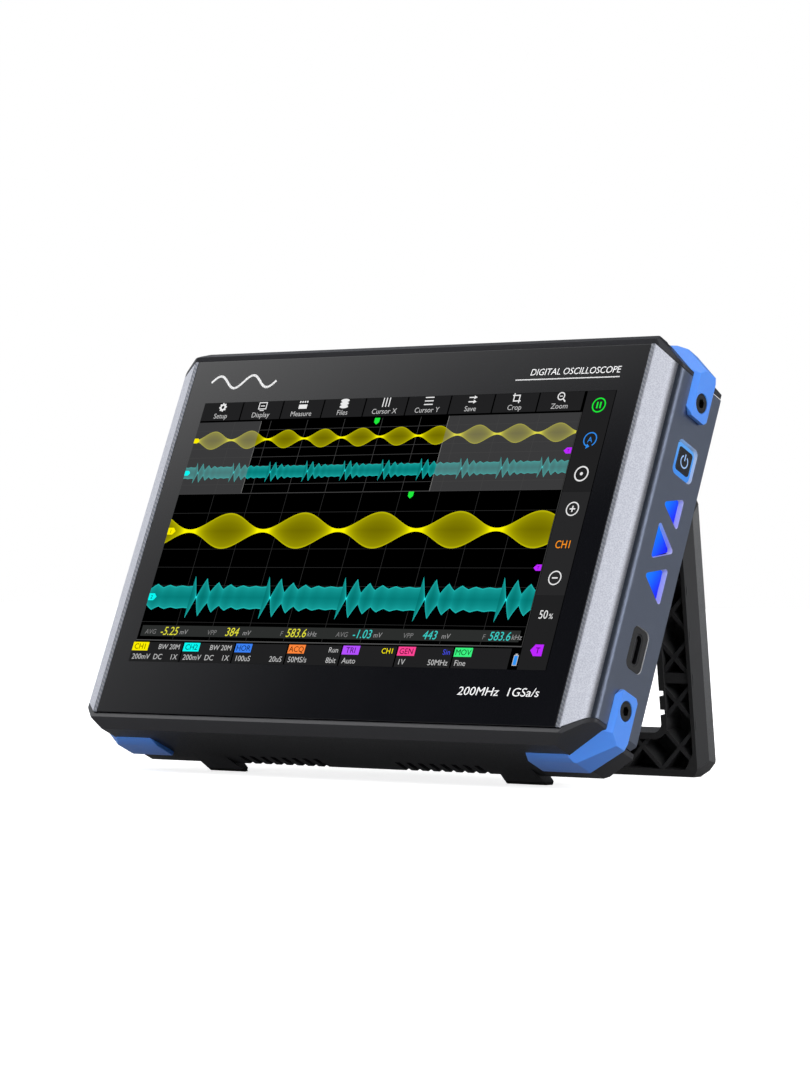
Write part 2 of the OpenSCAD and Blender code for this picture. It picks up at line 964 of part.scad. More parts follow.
// ---- Front stack ----

module cover_glass() {
    color([0.02, 0.02, 0.03]) lean_back()
        block([-glass_w / 2, 0, 0.05], [glass_w / 2, glass_t, glass_h - 0.05]);
}

module lcd_module() {
    margin = [3.2, 5.6, 3];
    color([0.2, 0.22, 0.25]) lean_back()
        block([-lit_w / 2 - margin[0], glass_t + 0.1, lit_z - margin[1]],
              [lit_w / 2 + margin[0], lcd_back, lit_z + lit_h + margin[2]]);
}

module display_flex() {
    x = [-20, 20];
    y = [lcd_back + 0.02, 17];
    z = [8, 22];
    t = 0.3;
    color([0.75, 0.5, 0.15]) lean_back() {
        block([x[0], y[0], z[0]], [x[1], y[0] + t, z[1]]);
        block([x[0], y[0], z[0] - t], [x[1], y[1], z[0]]);
        block([x[0], y[1] - t, z[0] - t], [x[1], y[1], z[1]]);
    }
}

module mid_frame() {
    x = 83.5;
    top = 113.5;
    low = 1.5;
    step_x = pocket[0] + pocket_wall + 1.5;
    step_z = 108.9;
    flex_slot = [24, 5.5, 24];
    windows = [[12, 62], [34, 88]];
    color([0.35, 0.36, 0.38]) lean_back() difference() {
        union() {
            along_y(frame_y[0], frame_y[1]) polygon([
                [-x, low], [x, low], [x, top], [step_x, top], [step_x, step_z],
                [-step_x, step_z], [-step_x, top], [-x, top]
            ]);
            at_cover_screws() tube(frame_y[0], boss_top - 0.1, 3.4);
            at_board_screws() tube(frame_y[0], board_y[0], 2.6);
        }
        at_cover_screws() tube(frame_y[1] + over, boss_top, 1.22);
        at_board_screws() tube(frame_y[1] + over, board_y[1], 1.02);
        block([-flex_slot[0], 0, flex_slot[1]], [flex_slot[0], frame_y[1] + over, flex_slot[2]]);
        both_sides() block([windows[0][0], 0, windows[1][0]],
                           [windows[0][1], frame_y[1] + over, windows[1][1]]);
    }
}

// ---- Main board and what it carries ----

module at_board_screws() {
    for (x = [-board_screw[0], board_screw[0]], z = [board_screw[1], board_screw[2]])
        translate([x, 0, z]) rotate([-90, 0, 0]) children();
}

module main_board() {
    x = [-80, 84.5];
    color([0.05, 0.3, 0.15]) lean_back() difference() {
        block([x[0], board_y[0], board_z[0]], [x[1], board_y[1], board_z[1]]);
        at_board_screws() tube(board_y[0] - over, board_y[1] + over, 1.1);
    }
}

module board_screws() {
    color([0.7, 0.7, 0.72]) lean_back() at_board_screws() difference() {
        union() {
            tube(screw_tip - over, on_board + 0.08, 1);
            tube(on_board, on_board + 1.4, 1.9);
        }
        translate([0, 0, on_board + 0.68]) cylinder(h = 2, r = 0.8, $fn = 6);
    }
}

module rf_shields() {
    half = 12;
    z = [74, 98];
    t = 0.4;
    y = [on_board, 19.4];
    color([0.75, 0.76, 0.78]) lean_back() for (x = jack_x) difference() {
        block([x - half, y[0], z[0]], [x + half, y[1], z[1]]);
        block([x - half + t, y[0] - over, z[0] + t], [x + half - t, y[1] - t, z[1] - t]);
    }
}

module processor_chip() {
    half = 8.5;
    color([0.08, 0.08, 0.09]) lean_back()
        block([fan_c[0] - half, on_board, fan_c[1] - half],
              [fan_c[0] + half, chip_top, fan_c[1] + half]);
}

module heatsink() {
    half = 13;
    base = [chip_top + 0.02, 18.2];
    fin = 1;
    fins = 9;
    color([0.6, 0.62, 0.65]) lean_back() translate([fan_c[0] - half, 0, fan_c[1] - half]) {
        block([0, base[0], 0], [2 * half, base[1], 2 * half]);
        for (i = [0 : fins - 1])
            translate([i * (2 * half - fin) / (fins - 1), base[1] - 0.1, 0])
                cube([fin, 3.6, 2 * half]);
    }
}

module battery_pack() {
    color([0.2, 0.35, 0.65]) lean_back() along_z(24.2, 58.8)
        translate([-26, 24.8]) round_square(64, 14, 3.5);
}

module buzzer() {
    color([0.1, 0.1, 0.1]) lean_back() translate([68, on_board, 64]) rotate([-90, 0, 0])
        difference() {
            cylinder(h = 4, r = 6);
            translate([0, 0, 3]) cylinder(h = 2, r = 1);
        }
}

// Places a shape drawn on +Z at the fan's centre, with +Z turned to +Y.
module at_fan(y) {
    translate([fan_c[0], y, fan_c[1]]) rotate([-90, 0, 0]) children();
}

module fan_frame() {
    depth = fan_y[1] - fan_y[0];
    strut = 1.8;
    spider = 1.2;
    hub_r = 8.6;
    color([0.12, 0.12, 0.13]) lean_back() at_fan(fan_y[0]) {
        difference() {
            linear_extrude(depth) round_square(fan_w, fan_w, 2.5);
            tube(-over, depth + over, fan_w / 2 - 1.3);
        }
        cylinder(h = spider, r = hub_r);
        for (a = [45 : 90 : 315])
            rotate(a) translate([hub_r - 0.6, -strut / 2, 0]) cube([9, strut, spider]);
        cylinder(h = depth - 2, r = 1);
    }
}

module fan_rotor() {
    blades = 7;
    blade = [7.4, 8.4, 1];
    hub = [1.6, 9.2];
    color([0.16, 0.16, 0.17]) lean_back() at_fan(fan_y[0]) difference() {
        union() {
            tube(hub[0], hub[1], 8.6);
            for (i = [0 : blades - 1])
                rotate(i * 360 / blades) translate([8, 0, (hub[0] + hub[1]) / 2])
                    rotate([38, 0, 0]) translate([0, -blade[1] / 2, -blade[2] / 2]) cube(blade);
        }
        tube(hub[0] - 0.6, hub[1] - 0.8, 1 + run_fit);
    }
}

// ---- Coaxial jacks, upright in the top cap's pocket ----

module at_jacks() {
    lean_back() for (x = jack_x) translate([x, jack_y, 0]) children();
}

module tube(from, to, r) {
    translate([0, 0, from]) cylinder(h = to - from, r = r);
}

module bnc_shells() {
    floor_z = pocket[3];
    color([0.75, 0.76, 0.78]) at_jacks() difference() {
        union() {
            tube(jack_foot, floor_z - pocket_wall - 0.05, 6.4);
            tube(floor_z - 2, jack_neck_top, jack_neck_r);
            tube(jack_neck_top - 0.1, jack_top, jack_r);
            translate([0, 0, jack_neck_top - 1.1]) rotate([0, 90, 0]) translate([0, 0, -5.5])
                cylinder(h = 11, r = 1, $fn = 32);
        }
        tube(floor_z + 0.2, jack_top + over, jack_bore_r + run_fit);
        tube(jack_foot - over, floor_z + over, 1.6);
    }
}

module bnc_nuts() {
    z = pocket[3] + 0.03;
    color([0.8, 0.8, 0.82]) at_jacks() difference() {
        translate([0, 0, z]) cylinder(h = 2.3, r = 7, $fn = 6);
        tube(z - over, z + 4, jack_neck_r + run_fit);
    }
}

module bnc_insulators() {
    step_z = 116.4;
    color([0.92, 0.92, 0.9]) at_jacks() difference() {
        union() {
            tube(pocket[3] + 0.22, step_z, jack_bore_r);
            tube(step_z - 0.1, jack_top - 1, 2.4);
        }
        tube(pocket[3], jack_top, contact_r + 0.02);
    }
}

module bnc_contacts() {
    color([0.85, 0.68, 0.3]) at_jacks() difference() {
        tube(jack_foot - 0.2, jack_top - 1.4, contact_r);
        tube(117, jack_top, 0.7);
    }
}

// ---- Drawing ----

cover_glass();
lcd_module();
display_flex();
mid_frame();
rail_left();
rail_right();
top_cap();
bottom_cap();
foot_pads();
back_cover();
bumper_top_left();
bumper_top_right();
bumper_bottom_left();
bumper_bottom_right();
bumper_screws();
power_key();
power_light_ring();
power_switch();
status_light_upper();
status_light_middle();
status_light_lower();
status_leds();
usb_trim();
usb_shell();
usb_tongue();
kickstand();
stand_pads();
hinge_pins();
bnc_shells();
bnc_nuts();
bnc_insulators();
bnc_contacts();
main_board();
rf_shields();
processor_chip();
heatsink();
battery_pack();
fan_frame();
fan_rotor();
buzzer();
cover_screws();
board_screws();
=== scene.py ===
import json
import math

import bmesh
import bpy
from mathutils import Matrix, Vector


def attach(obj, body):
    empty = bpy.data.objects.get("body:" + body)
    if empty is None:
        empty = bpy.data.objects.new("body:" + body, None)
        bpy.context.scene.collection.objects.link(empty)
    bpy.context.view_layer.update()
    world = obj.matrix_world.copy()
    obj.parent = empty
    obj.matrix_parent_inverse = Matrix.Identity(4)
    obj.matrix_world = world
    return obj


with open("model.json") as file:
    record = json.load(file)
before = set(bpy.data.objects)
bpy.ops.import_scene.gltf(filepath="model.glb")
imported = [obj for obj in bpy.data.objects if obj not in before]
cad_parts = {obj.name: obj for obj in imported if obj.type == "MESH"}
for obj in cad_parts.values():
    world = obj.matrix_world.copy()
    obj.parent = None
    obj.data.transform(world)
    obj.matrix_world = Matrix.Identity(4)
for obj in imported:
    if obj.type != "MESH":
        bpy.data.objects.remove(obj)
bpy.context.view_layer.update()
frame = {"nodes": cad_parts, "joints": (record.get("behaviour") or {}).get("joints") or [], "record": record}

MM = 0.001

# ---- The case's own frame: RIGHT, BACK (from the glass to the rear) and UP along the glass ----

JOINTS = {joint["name"]: joint for joint in frame["joints"]}
RIGHT = Vector((1, 0, 0))
BACK = Vector(JOINTS["fan_spin"]["axis"]).normalized()
UP = RIGHT.cross(BACK)


def reach(node, axis):
    """Lowest and highest place of a CAD node along an axis, in metres."""
    along = [vertex.co.dot(axis) for vertex in frame["nodes"][node].data.vertices]
    return min(along), max(along)


GLASS_FRONT = reach("cover_glass", BACK)[0]
GLASS_LOW = reach("cover_glass", UP)[0]
CASE_ORIGIN = BACK * GLASS_FRONT + UP * GLASS_LOW


def place_on(right, up, out, origin):
    """Matrix from millimetres on a face (right, up, out of the face) to the row frame."""
    columns = Matrix((right, up, out)).transposed().to_4x4()
    return Matrix.Translation(origin) @ columns @ Matrix.Scale(MM, 4)


ON_GLASS = place_on(RIGHT, UP, -BACK, CASE_ORIGIN)


# ---- Thin printed or lit marks ----

INK_T = 0.02          # thickness of a mark, in millimetres
CAP_SHARE = 0.729     # cap height of Blender's own letters at size 1


def ink(red, green, blue):
    """A lit colour given in steps of 0 to 255, made linear."""
    shares = [step / 255 for step in (red, green, blue)]
    linear = [s / 12.92 if s <= 0.04045 else ((s + 0.055) / 1.055) ** 2.4 for s in shares]
    return (*linear, 1.0)


def mix(a, b, share):
    """The tone that lies that share of the way from a to b."""
    return tuple(p + (q - p) * share for p, q in zip(a, b))


WHITE = ink(235, 235, 235)
PALE = ink(190, 190, 190)
DIM = ink(120, 120, 120)
BLACK = ink(0, 0, 0)
YELLOW = ink(255, 240, 0)
CYAN = ink(10, 250, 245)
GREEN = ink(30, 235, 60)
PURPLE = ink(190, 40, 255)
CELL = ink(33, 33, 34)


class Marks:
    """Thin closed marks on one flat face, gathered into one piece."""

    def __init__(self, place, lift):
        self.bm = bmesh.new()
        self.layer = self.bm.loops.layers.float_color.new("ink")
        self.place = place
        self.lift = lift

    def vert(self, u, v, height):
        return self.bm.verts.new(self.place @ Vector((u, v, self.lift + height)))

    def paint(self, faces, colour):
        for face in faces:
            for loop in face.loops:
                loop[self.layer] = colour

    def plate(self, outline, colour):
        """A filled shape; outline runs anticlockwise as seen from the front."""
        top = [self.vert(u, v, INK_T) for u, v in outline]
        base = [self.vert(u, v, 0) for u, v in outline]
        faces = [self.bm.faces.new(top), self.bm.faces.new(base[::-1])]
        for i, corner in enumerate(top):
            j = (i + 1) % len(top)
            faces.append(self.bm.faces.new((base[i], base[j], top[j], corner)))
        self.paint(faces, colour)

    def bar(self, left, low, right, high, colour):
        self.plate([(left, low), (right, low), (right, high), (left, high)], colour)

    def stroke(self, a, b, width, colour):
        """A straight line of that width between two points."""
        way = Vector((b[0] - a[0], b[1] - a[1])).normalized() * (width / 2)
        side = Vector((-way.y, way.x))
        ends = [Vector(a) - side, Vector(b) - side, Vector(b) + side, Vector(a) + side]
        self.plate([(p.x, p.y) for p in ends], colour)

    def loop(self, outer, inner, colour):
        """The area between two closed outlines with as many points each."""
        rows = [[self.vert(u, v, h) for u, v in line]
                for line in (outer, inner) for h in (INK_T, 0)]
        faces = []
        for i in range(len(outer)):
            j = (i + 1) % len(outer)
            for p, q in ((0, 1), (1, 3), (3, 2), (2, 0)):
                faces.append(self.bm.faces.new((rows[p][i], rows[q][i], rows[q][j], rows[p][j])))
        self.paint(faces, colour)

    def ribbon(self, columns):
        """A strip: for each step along it, its place and a list of (height, colour) rows."""
        front = [[self.vert(u, v, INK_T) for v, _ in rows] for u, rows in columns]
        rear = [[self.vert(u, v, 0) for v, _ in rows] for u, rows in columns]
        for i in range(len(columns) - 1):
            last = len(columns[i][1]) - 1
            for k in range(last):
                quads = [(front[i][k], front[i + 1][k], front[i + 1][k + 1], front[i][k + 1]),
                         (rear[i][k], rear[i][k + 1], rear[i + 1][k + 1], rear[i + 1][k])]
                for quad in quads:
                    face = self.bm.faces.new(quad)
                    tones = [columns[i][1][k][1], columns[i + 1][1][k][1],
                             columns[i + 1][1][k + 1][1], columns[i][1][k + 1][1]]
                    for loop, tone in zip(face.loops, tones):
                        loop[self.layer] = tone
            edges = [(front[i][0], rear[i][0], rear[i + 1][0], front[i + 1][0]),
                     (front[i][last], front[i + 1][last], rear[i + 1][last], rear[i][last])]
            self.paint([self.bm.faces.new(edge) for edge in edges], columns[i][1][0][1])
        for i in (0, len(columns) - 1):
            for k in range(len(columns[i][1]) - 1):
                end = self.bm.faces.new((front[i][k], front[i][k + 1], rear[i][k + 1], rear[i][k]))
                self.paint([end], columns[i][1][k][1])

    def text(self, body, u, v, cap, colour, align="LEFT", squeeze=1.0, slant=0.0):
        """Letters of cap height cap, standing on the line v."""
        curve = bpy.data.curves.new("letters", "FONT")
        curve.body = body
        curve.align_x = align
        curve.size = cap / CAP_SHARE
        curve.shear = slant
        curve.extrude = INK_T / 2
        curve.resolution_u = 3
        letters = bpy.data.objects.new("letters", curve)
        mesh = bpy.data.meshes.new_from_object(letters)
        spot = Matrix.Translation((u, v, self.lift + INK_T / 2))
        mesh.transform(self.place @ spot @ Matrix.Diagonal((squeeze, 1, 1, 1)))
        first_face, first_vert = len(self.bm.faces), len(self.bm.verts)
        self.bm.from_mesh(mesh)
        self.bm.faces.ensure_lookup_table()
        self.bm.verts.ensure_lookup_table()
        self.paint(self.bm.faces[first_face:], colour)
        bmesh.ops.remove_doubles(self.bm, verts=self.bm.verts[first_vert:], dist=2e-7)
        bpy.data.objects.remove(letters)
        bpy.data.curves.remove(curve)
        bpy.data.meshes.remove(mesh)

    def finish(self, name, body, material):
        """Turns the marks into a piece that rides on a body."""
        bmesh.ops.recalc_face_normals(self.bm, faces=self.bm.faces[:])
        mesh = bpy.data.meshes.new(name)
        self.bm.to_mesh(mesh)
        self.bm.free()
        return add_piece(name, mesh, body, material)


def add_piece(name, mesh, body, material):
    """Links a mesh into the scene as a piece that rides on a body."""
    piece = bpy.data.objects.new(name, mesh)
    bpy.context.scene.collection.objects.link(piece)
    mesh.materials.append(material)
    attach(piece, body)
    return piece


def circle(u, v, radius, steps=40, start=0.0, end=360.0):
    """Points of an arc, anticlockwise; a full turn leaves out the repeated point."""
    full = end - start >= 360
    count = steps if full else steps + 1
    turns = [math.radians(start + (end - start) * i / steps) for i in range(count)]
    return [(u + radius * math.cos(t), v + radius * math.sin(t)) for t in turns]


def moved(outline, u, v):
    """The outline, drawn round (0, 0), brought to a place."""
    return [(u + a, v + b) for a, b in outline]


# ---- Materials ----

class Look:
    """A node material under construction."""

    def __init__(self, name, colour, rough, metallic=0.0):
        self.material = bpy.data.materials.new(name)
        self.material.use_nodes = True
        self.nodes = self.material.node_tree.nodes
        self.links = self.material.node_tree.links
        self.shader = self.nodes["Principled BSDF"]
        self.colour = colour
        self.shader.inputs["Base Color"].default_value = (*colour, 1)
        self.shader.inputs["Roughness"].default_value = rough
        self.shader.inputs["Metallic"].default_value = metallic
        self.spot = self.nodes.new("ShaderNodeTexCoord").outputs["Object"]

    def node(self, kind, **values):
        """A new node with some of its settings."""
        made = self.nodes.new(kind)
        for name, value in values.items():
            setattr(made, name, value)
        return made

    def noise(self, size, detail=2.0, stretch=None):
        """Noise whose features are size millimetres across."""
        texture = self.node("ShaderNodeTexNoise")
        texture.inputs["Scale"].default_value = 1 / (size * MM)
        texture.inputs["Detail"].default_value = detail
        source = self.spot
        if stretch:
            mapping = self.node("ShaderNodeMapping")
            mapping.inputs["Scale"].default_value = stretch
            self.links.new(source, mapping.inputs["Vector"])
            source = mapping.outputs["Vector"]
        self.links.new(source, texture.inputs["Vector"])
        return texture.outputs["Fac"]

    def waves(self, direction, scale):
        """Stripes, as 0 to 1, that follow one another along a direction."""
        wave = self.node("ShaderNodeTexWave", bands_direction=direction)
        wave.inputs["Scale"].default_value = scale
        self.links.new(self.spot, wave.inputs["Vector"])
        return self.ramp(wave.outputs["Fac"], 0, 1)

    def ramp(self, source, low, high, from_low=0.35, from_high=0.65):
        """Maps a value, by default the middle of a noise, to a range."""
        span = self.node("ShaderNodeMapRange", interpolation_type="SMOOTHSTEP")
        span.inputs["From Min"].default_value = from_low
        span.inputs["From Max"].default_value = from_high
        span.inputs["To Min"].default_value = low
        span.inputs["To Max"].default_value = high
        self.links.new(source, span.inputs["Value"])
        return span.outputs["Result"]

    def along(self, direction, start, end):
        """0 to 1 along a direction of the row frame, between two distances in metres."""
        dot = self.node("ShaderNodeVectorMath", operation="DOT_PRODUCT")
        dot.inputs[1].default_value = direction
        self.links.new(self.spot, dot.inputs[0])
        return self.ramp(dot.outputs["Value"], 0, 1, start, end)

    def blend(self, share, a, b, target="Base Color"):
        """Mixes two colours by a value and puts the result in one of the shader's sockets."""
        mixer = self.node("ShaderNodeMix", data_type="RGBA")
        self.links.new(share, mixer.inputs["Factor"])
        for socket, value in ((mixer.inputs[6], a), (mixer.inputs[7], b)):
            if isinstance(value, (tuple, list)):
                socket.default_value = (*value[:3], 1)
            else:
                self.links.new(value, socket)
        self.links.new(mixer.outputs[2], self.shader.inputs[target])
        return mixer.outputs[2]

    def mottle(self, size, amount):
        """Slight colour variation in broad patches."""
        darker = tuple(c * (1 - amount) for c in self.colour)
        lighter = tuple(min(1.0, c * (1 + amount)) for c in self.colour)
        return self.blend(self.noise(size), darker, lighter)

    def rough(self, source, low, high):
        """Lets the roughness vary between two values."""
        self.links.new(self.ramp(source, low, high), self.shader.inputs["Roughness"])

    def bump(self, source, depth):
        """Relief of that depth in millimetres, on top of any the look already has."""
        relief = self.node("ShaderNodeBump")
        relief.inputs["Distance"].default_value = depth * MM
        relief.inputs["Strength"].default_value = 1.0
        self.links.new(source, relief.inputs["Height"])
        previous = self.shader.inputs["Normal"].links
        if previous:
            self.links.new(previous[0].from_socket, relief.inputs["Normal"])
        self.links.new(relief.outputs["Normal"], self.shader.inputs["Normal"])

    def set(self, **values):
        """Sets the shader's sockets; an underscore stands for a space."""
        for name, value in values.items():
            self.shader.inputs[name.replace("_", " ")].default_value = value
        return self


# The looks' sizes (mottle and grain) and depths (bump) are in millimetres.


def moulded(name, colour, rough, grain, depth, mottle=0.08):
    """Moulded plastic with a fine spark-eroded texture."""
    look = Look(name, colour, rough)
    look.mottle(9, mottle)
    fine = look.noise(grain, 3)
    look.rough(fine, rough - 0.06, rough + 0.06)
    look.bump(fine, depth)
    return look


def worked_metal(name, colour, rough, grain, depth, mottle, stretch=None):
    """Metal with a blasted, brushed or turned surface."""
    look = Look(name, colour, rough, 1.0)
    look.mottle(14, mottle)
    fine = look.noise(grain, 2, stretch)
    look.rough(fine, rough - 0.05, rough + 0.07)
    look.bump(fine, depth)
    return look


def glass_look():
    """Black printed glass with faint smears."""
    look = Look("glass_black", (0.004, 0.004, 0.005), 0.06)
    look.mottle(40, 0.2)
    smear = look.noise(30, 4)
    look.rough(smear, 0.035, 0.085)
    look.bump(look.noise(60, 1), 0.01)
    return look.set(Coat_Weight=1.0, Coat_Roughness=0.03, Specular_IOR_Level=0.5)


def display_look():
    look = Look("display_stack", (0.05, 0.055, 0.065), 0.35)
    look.mottle(20, 0.15)
    look.rough(look.noise(1.2), 0.3, 0.45)
    return look.set(Coat_Weight=0.4)


def flex_look():
    """Amber ribbon film with strips along it."""
    look = Look("flex_film_amber", (0.62, 0.3, 0.05), 0.35)
    strips = look.waves("X", 132.696)
    look.blend(strips, look.colour, (0.8, 0.45, 0.16))
    look.bump(strips, 0.03)
    return look.set(Coat_Weight=0.5)


def rail_look():
    """Slate anodised, finely blasted."""
    return worked_metal("rail_anodised", (0.23, 0.26, 0.33), 0.34, 0.16, 0.01, 0.05)


def facet_look():
    """The facet: nearly white metal with fine blasted grain, a painted highlight as a lit copy of the slate
    rail metal; its gloss is real.
    """
    look = worked_metal("rail_facet_painted_highlight", (0.86, 0.87, 0.93), 0.36, 0.14, 0.004, 0.03)
    sand = look.ramp(look.noise(0.35, 1), 0, 1)
    look.blend(sand, (0.76, 0.77, 0.83), (0.94, 0.95, 1.0))
    return look


def lip_look():
    """The thin rim beside the glass, with a fine slanting hatch."""
    look = Look("rail_rim", (0.42, 0.44, 0.48), 0.4, 1.0)
    hatch = look.waves("DIAGONAL", 353.857)
    look.blend(hatch, (0.28, 0.3, 0.35), (0.46, 0.47, 0.51))
    look.bump(hatch, 0.01)
    return look


def cap_look():
    return moulded("cap_black", (0.024, 0.024, 0.027), 0.36, 0.3, 0.015)


def rubber_look():
    return moulded("foot_rubber_black", (0.012, 0.012, 0.012), 0.75, 0.5, 0.05)


def cover_look():
    return moulded("cover_graphite", (0.03, 0.032, 0.037), 0.5, 0.4, 0.035)


def bumper_look():
    """Soft blue elastomer with a satin skin."""
    look = moulded("bumper_blue", (0.075, 0.27, 0.86), 0.42, 0.22, 0.012, 0.04)
    look.set(Subsurface_Weight=0.12, Subsurface_Scale=0.002)
    return look.set(Sheen_Weight=0.15, Coat_Weight=0.1)


def black_steel_look():
    return worked_metal("black_oxide_steel", (0.07, 0.068, 0.068), 0.36, 0.2, 0.01, 0.2)


def key_look():
    return moulded("key_gloss_black", (0.007, 0.007, 0.009), 0.2, 1.5, 0.002).set(Coat_Weight=0.6)


def glow_look(name, low, high, direction, start, end, strength):
    """A lit window whose colour changes along one direction."""
    look = Look(name, (0.004, 0.01, 0.03), 0.35)
    look.mottle(2, 0.2)
    look.blend(look.along(direction, start, end), low, high, "Emission Color")
    look.bump(look.noise(0.6), 0.004)
    return look.set(Emission_Strength=strength, Specular_IOR_Level=0.15)


def ring_look():
    """The lit frame round the power key."""
    low, high = reach("power_light_ring", UP)
    look = glow_look("ring_lit_blue", ink(70, 145, 240), ink(95, 170, 250), UP, low, high, 0.9)
    return look.set(Roughness=0.5)


def window_look(node):
    """Blue light window, paler towards the front and top where the lamp behind it is."""
    slant = (BACK * 0.9 - UP * 0.35).normalized()
    low, high = reach(node, slant)
    name = node + "_lit_blue"
    return glow_look(name, ink(0, 125, 255), ink(5, 10, 255), slant, low, high, 1.0)


def led_look():
    look = Look("led_dome", (0.75, 0.72, 0.45), 0.2)
    look.mottle(1, 0.1)
    look.bump(look.noise(0.8), 0.01)
    return look.set(Coat_Weight=0.8)


def trim_look():
    return moulded("trim_grey", (0.02, 0.0195, 0.0195), 0.5, 0.2, 0.015)


def steel_look():
    return worked_metal("drawn_steel", (0.62, 0.62, 0.63), 0.28, 0.3, 0.008, 0.08)


def shell_look():
    """The socket's shell, with painted shade: its steel is made dark because it sits inside its recess."""
    # Painted shade: a much darker steel colour stands in for the shade of the recess.
    return worked_metal("plug_shell_painted_shade", (0.12, 0.12, 0.125), 0.4, 0.3, 0.008, 0.08)


def contact_look():
    return moulded("contact_black", (0.014, 0.014, 0.014), 0.5, 0.15, 0.01)


def stand_look():
    return moulded("stand_black", (0.03, 0.03, 0.031), 0.4, 0.35, 0.03)


def pin_look():
    """Ground steel, streaked along the pin."""
    return worked_metal("ground_pin", (0.58, 0.58, 0.6), 0.22, 0.2, 0.006, 0.05, (0.05, 1, 1))


def nickel_look():
    look = worked_metal("bright_nickel", (0.72, 0.7, 0.66), 0.14, 0.6, 0.004, 0.05)
    return look.set(Coat_Weight=0.3)


def insulator_look():
    return moulded("insulator_white", (0.8, 0.8, 0.76), 0.4, 0.3, 0.01, 0.03)


def gold_look():
    return worked_metal("gold_plate", (0.9, 0.62, 0.22), 0.2, 0.3, 0.005, 0.05)


def board_look():
    """Green solder mask over copper tracks."""
    look = Look("solder_mask_green", (0.012, 0.1, 0.04), 0.3)
    tracks = look.node("ShaderNodeTexBrick")
    tracks.inputs["Scale"].default_value = 1 / (9 * MM)
    tracks.inputs["Mortar Size"].default_value = 0.05
    tracks.inputs["Color1"].default_value = (0, 0, 0, 1)
    tracks.inputs["Color2"].default_value = (0.1, 0.1, 0.1, 1)
    tracks.inputs["Mortar"].default_value = (1, 1, 1, 1)
    turn = look.node("ShaderNodeMapping")
    turn.inputs["Rotation"].default_value = (math.radians(90) - math.atan2(BACK.z, BACK.y), 0, 0)
    look.links.new(look.spot, turn.inputs["Vector"])
    look.links.new(turn.outputs["Vector"], tracks.inputs["Vector"])
    look.blend(tracks.outputs["Color"], (0.01, 0.085, 0.035), (0.03, 0.2, 0.08))
    look.bump(tracks.outputs["Color"], 0.03)
    return look.set(Coat_Weight=0.5)


def chip_look():
    return moulded("chip_epoxy", (0.02, 0.02, 0.021), 0.55, 0.25, 0.012)


def heatsink_look():
    """Extruded aluminium with upright streaks."""
    grey = (0.5, 0.51, 0.53)
    return worked_metal("heatsink_aluminium", grey, 0.32, 0.3, 0.01, 0.05, (1, 1, 0.05))


def battery_look():
    """Shrink film with a faint wrinkle."""
    look = Look("battery_film", (0.03, 0.09, 0.3), 0.3)
    look.mottle(12, 0.1)
    look.bump(look.noise(5, 4), 0.12)
    return look.set(Coat_Weight=0.5)


def fan_look():
    return moulded("fan_black", (0.016, 0.016, 0.017), 0.45, 0.4, 0.02)


def frame_look():
    return moulded("frame_grey", (0.11, 0.115, 0.125), 0.5, 0.5, 0.03)


def tin_look():
    return worked_metal("tin_plate_bright", (0.66, 0.67, 0.68), 0.26, 1.2, 0.01, 0.08)


def screw_look():
    return worked_metal("screw_zinc", (0.55, 0.55, 0.56), 0.3, 0.3, 0.01, 0.08)


def lit_look(name="screen_ink", strength=1.0):
    """Shows each mark's own colour as light, on a matt black base."""
    look = Look(name, (0, 0, 0), 0.9)
    source = look.node("ShaderNodeAttribute", attribute_name="ink")
    look.links.new(source.outputs["Color"], look.shader.inputs["Emission Color"])
    return look.set(Emission_Strength=strength, Specular_IOR_Level=0.0)


def print_look():
    """Screen-printed ink: the mark's colour, slightly uneven, with a faint painted glow in that colour."""
    look = Look("printed_ink_painted_glow", (0.8, 0.8, 0.8), 0.5)
    source = look.node("ShaderNodeAttribute", attribute_name="ink")
    look.links.new(source.outputs["Color"], look.shader.inputs["Base Color"])
    # A faint glow in the ink's colour: painted light, since the print is no lamp.
    look.links.new(source.outputs["Color"], look.shader.inputs["Emission Color"])
    look.bump(look.noise(0.15), 0.004)
    return look.set(Emission_Strength=0.25)


LOOKS = {
    "front_glass": glass_look, "display": display_look, "flex_film": flex_look,
    "inner_frame": frame_look, "rail_metal": rail_look, "cap_plastic": cap_look,
    "foot_rubber": rubber_look, "cover_plastic": cover_look, "bumper_tpu": bumper_look,
    "black_steel": black_steel_look, "key_plastic": key_look, "lit_plastic": ring_look,
    "switch_metal": steel_look, "led_resin": led_look, "trim_plastic": trim_look,
    "plug_steel": shell_look, "contact_plastic": contact_look, "stand_plastic": stand_look,
    "pin_steel": pin_look, "jack_nickel": nickel_look, "jack_insulator": insulator_look,
    "jack_gold": gold_look, "board_green": board_look, "tin_plate": tin_look,
    "chip_black": chip_look, "heatsink_metal": heatsink_look, "battery_wrap": battery_look,
    "fan_plastic": fan_look, "screw_steel": screw_look,
}

# How far each node's sharp edges are rounded, in millimetres.
EDGE = {
    "top_cap": 0.45, "bottom_cap": 0.45, "kickstand": 0.3, "back_cover": 0.3, "mid_frame": 0.2,
    "rail_left": 0.2, "rail_right": 0.2, "cover_glass": 0.15, "battery_pack": 0.4,
    "fan_frame": 0.2, "fan_rotor": 0.15, "heatsink": 0.12, "foot_pads": 0.2, "stand_pads": 0.2,
    "bumper_top_left": 0.6, "bumper_top_right": 0.6, "bumper_bottom_left": 0.6,
    "bumper_bottom_right": 0.6, "usb_trim": 0.25, "power_key": 0.2, "power_light_ring": 0.12,
    "bumper_screws": 0.15, "main_board": 0.1, "rf_shields": 0.12, "processor_chip": 0.15,
    "lcd_module": 0.3, "power_switch": 0.15, "status_leds": 0.15,
}
SMALL_EDGE = 0.06
SAME_PLACE = 0.002    # corners closer than this, in millimetres, are one corner
SAME_PLANE = 0.6      # faces within this angle, in degrees, are one face
SHARP = 25            # edges with more than this angle, in degrees, are rounded


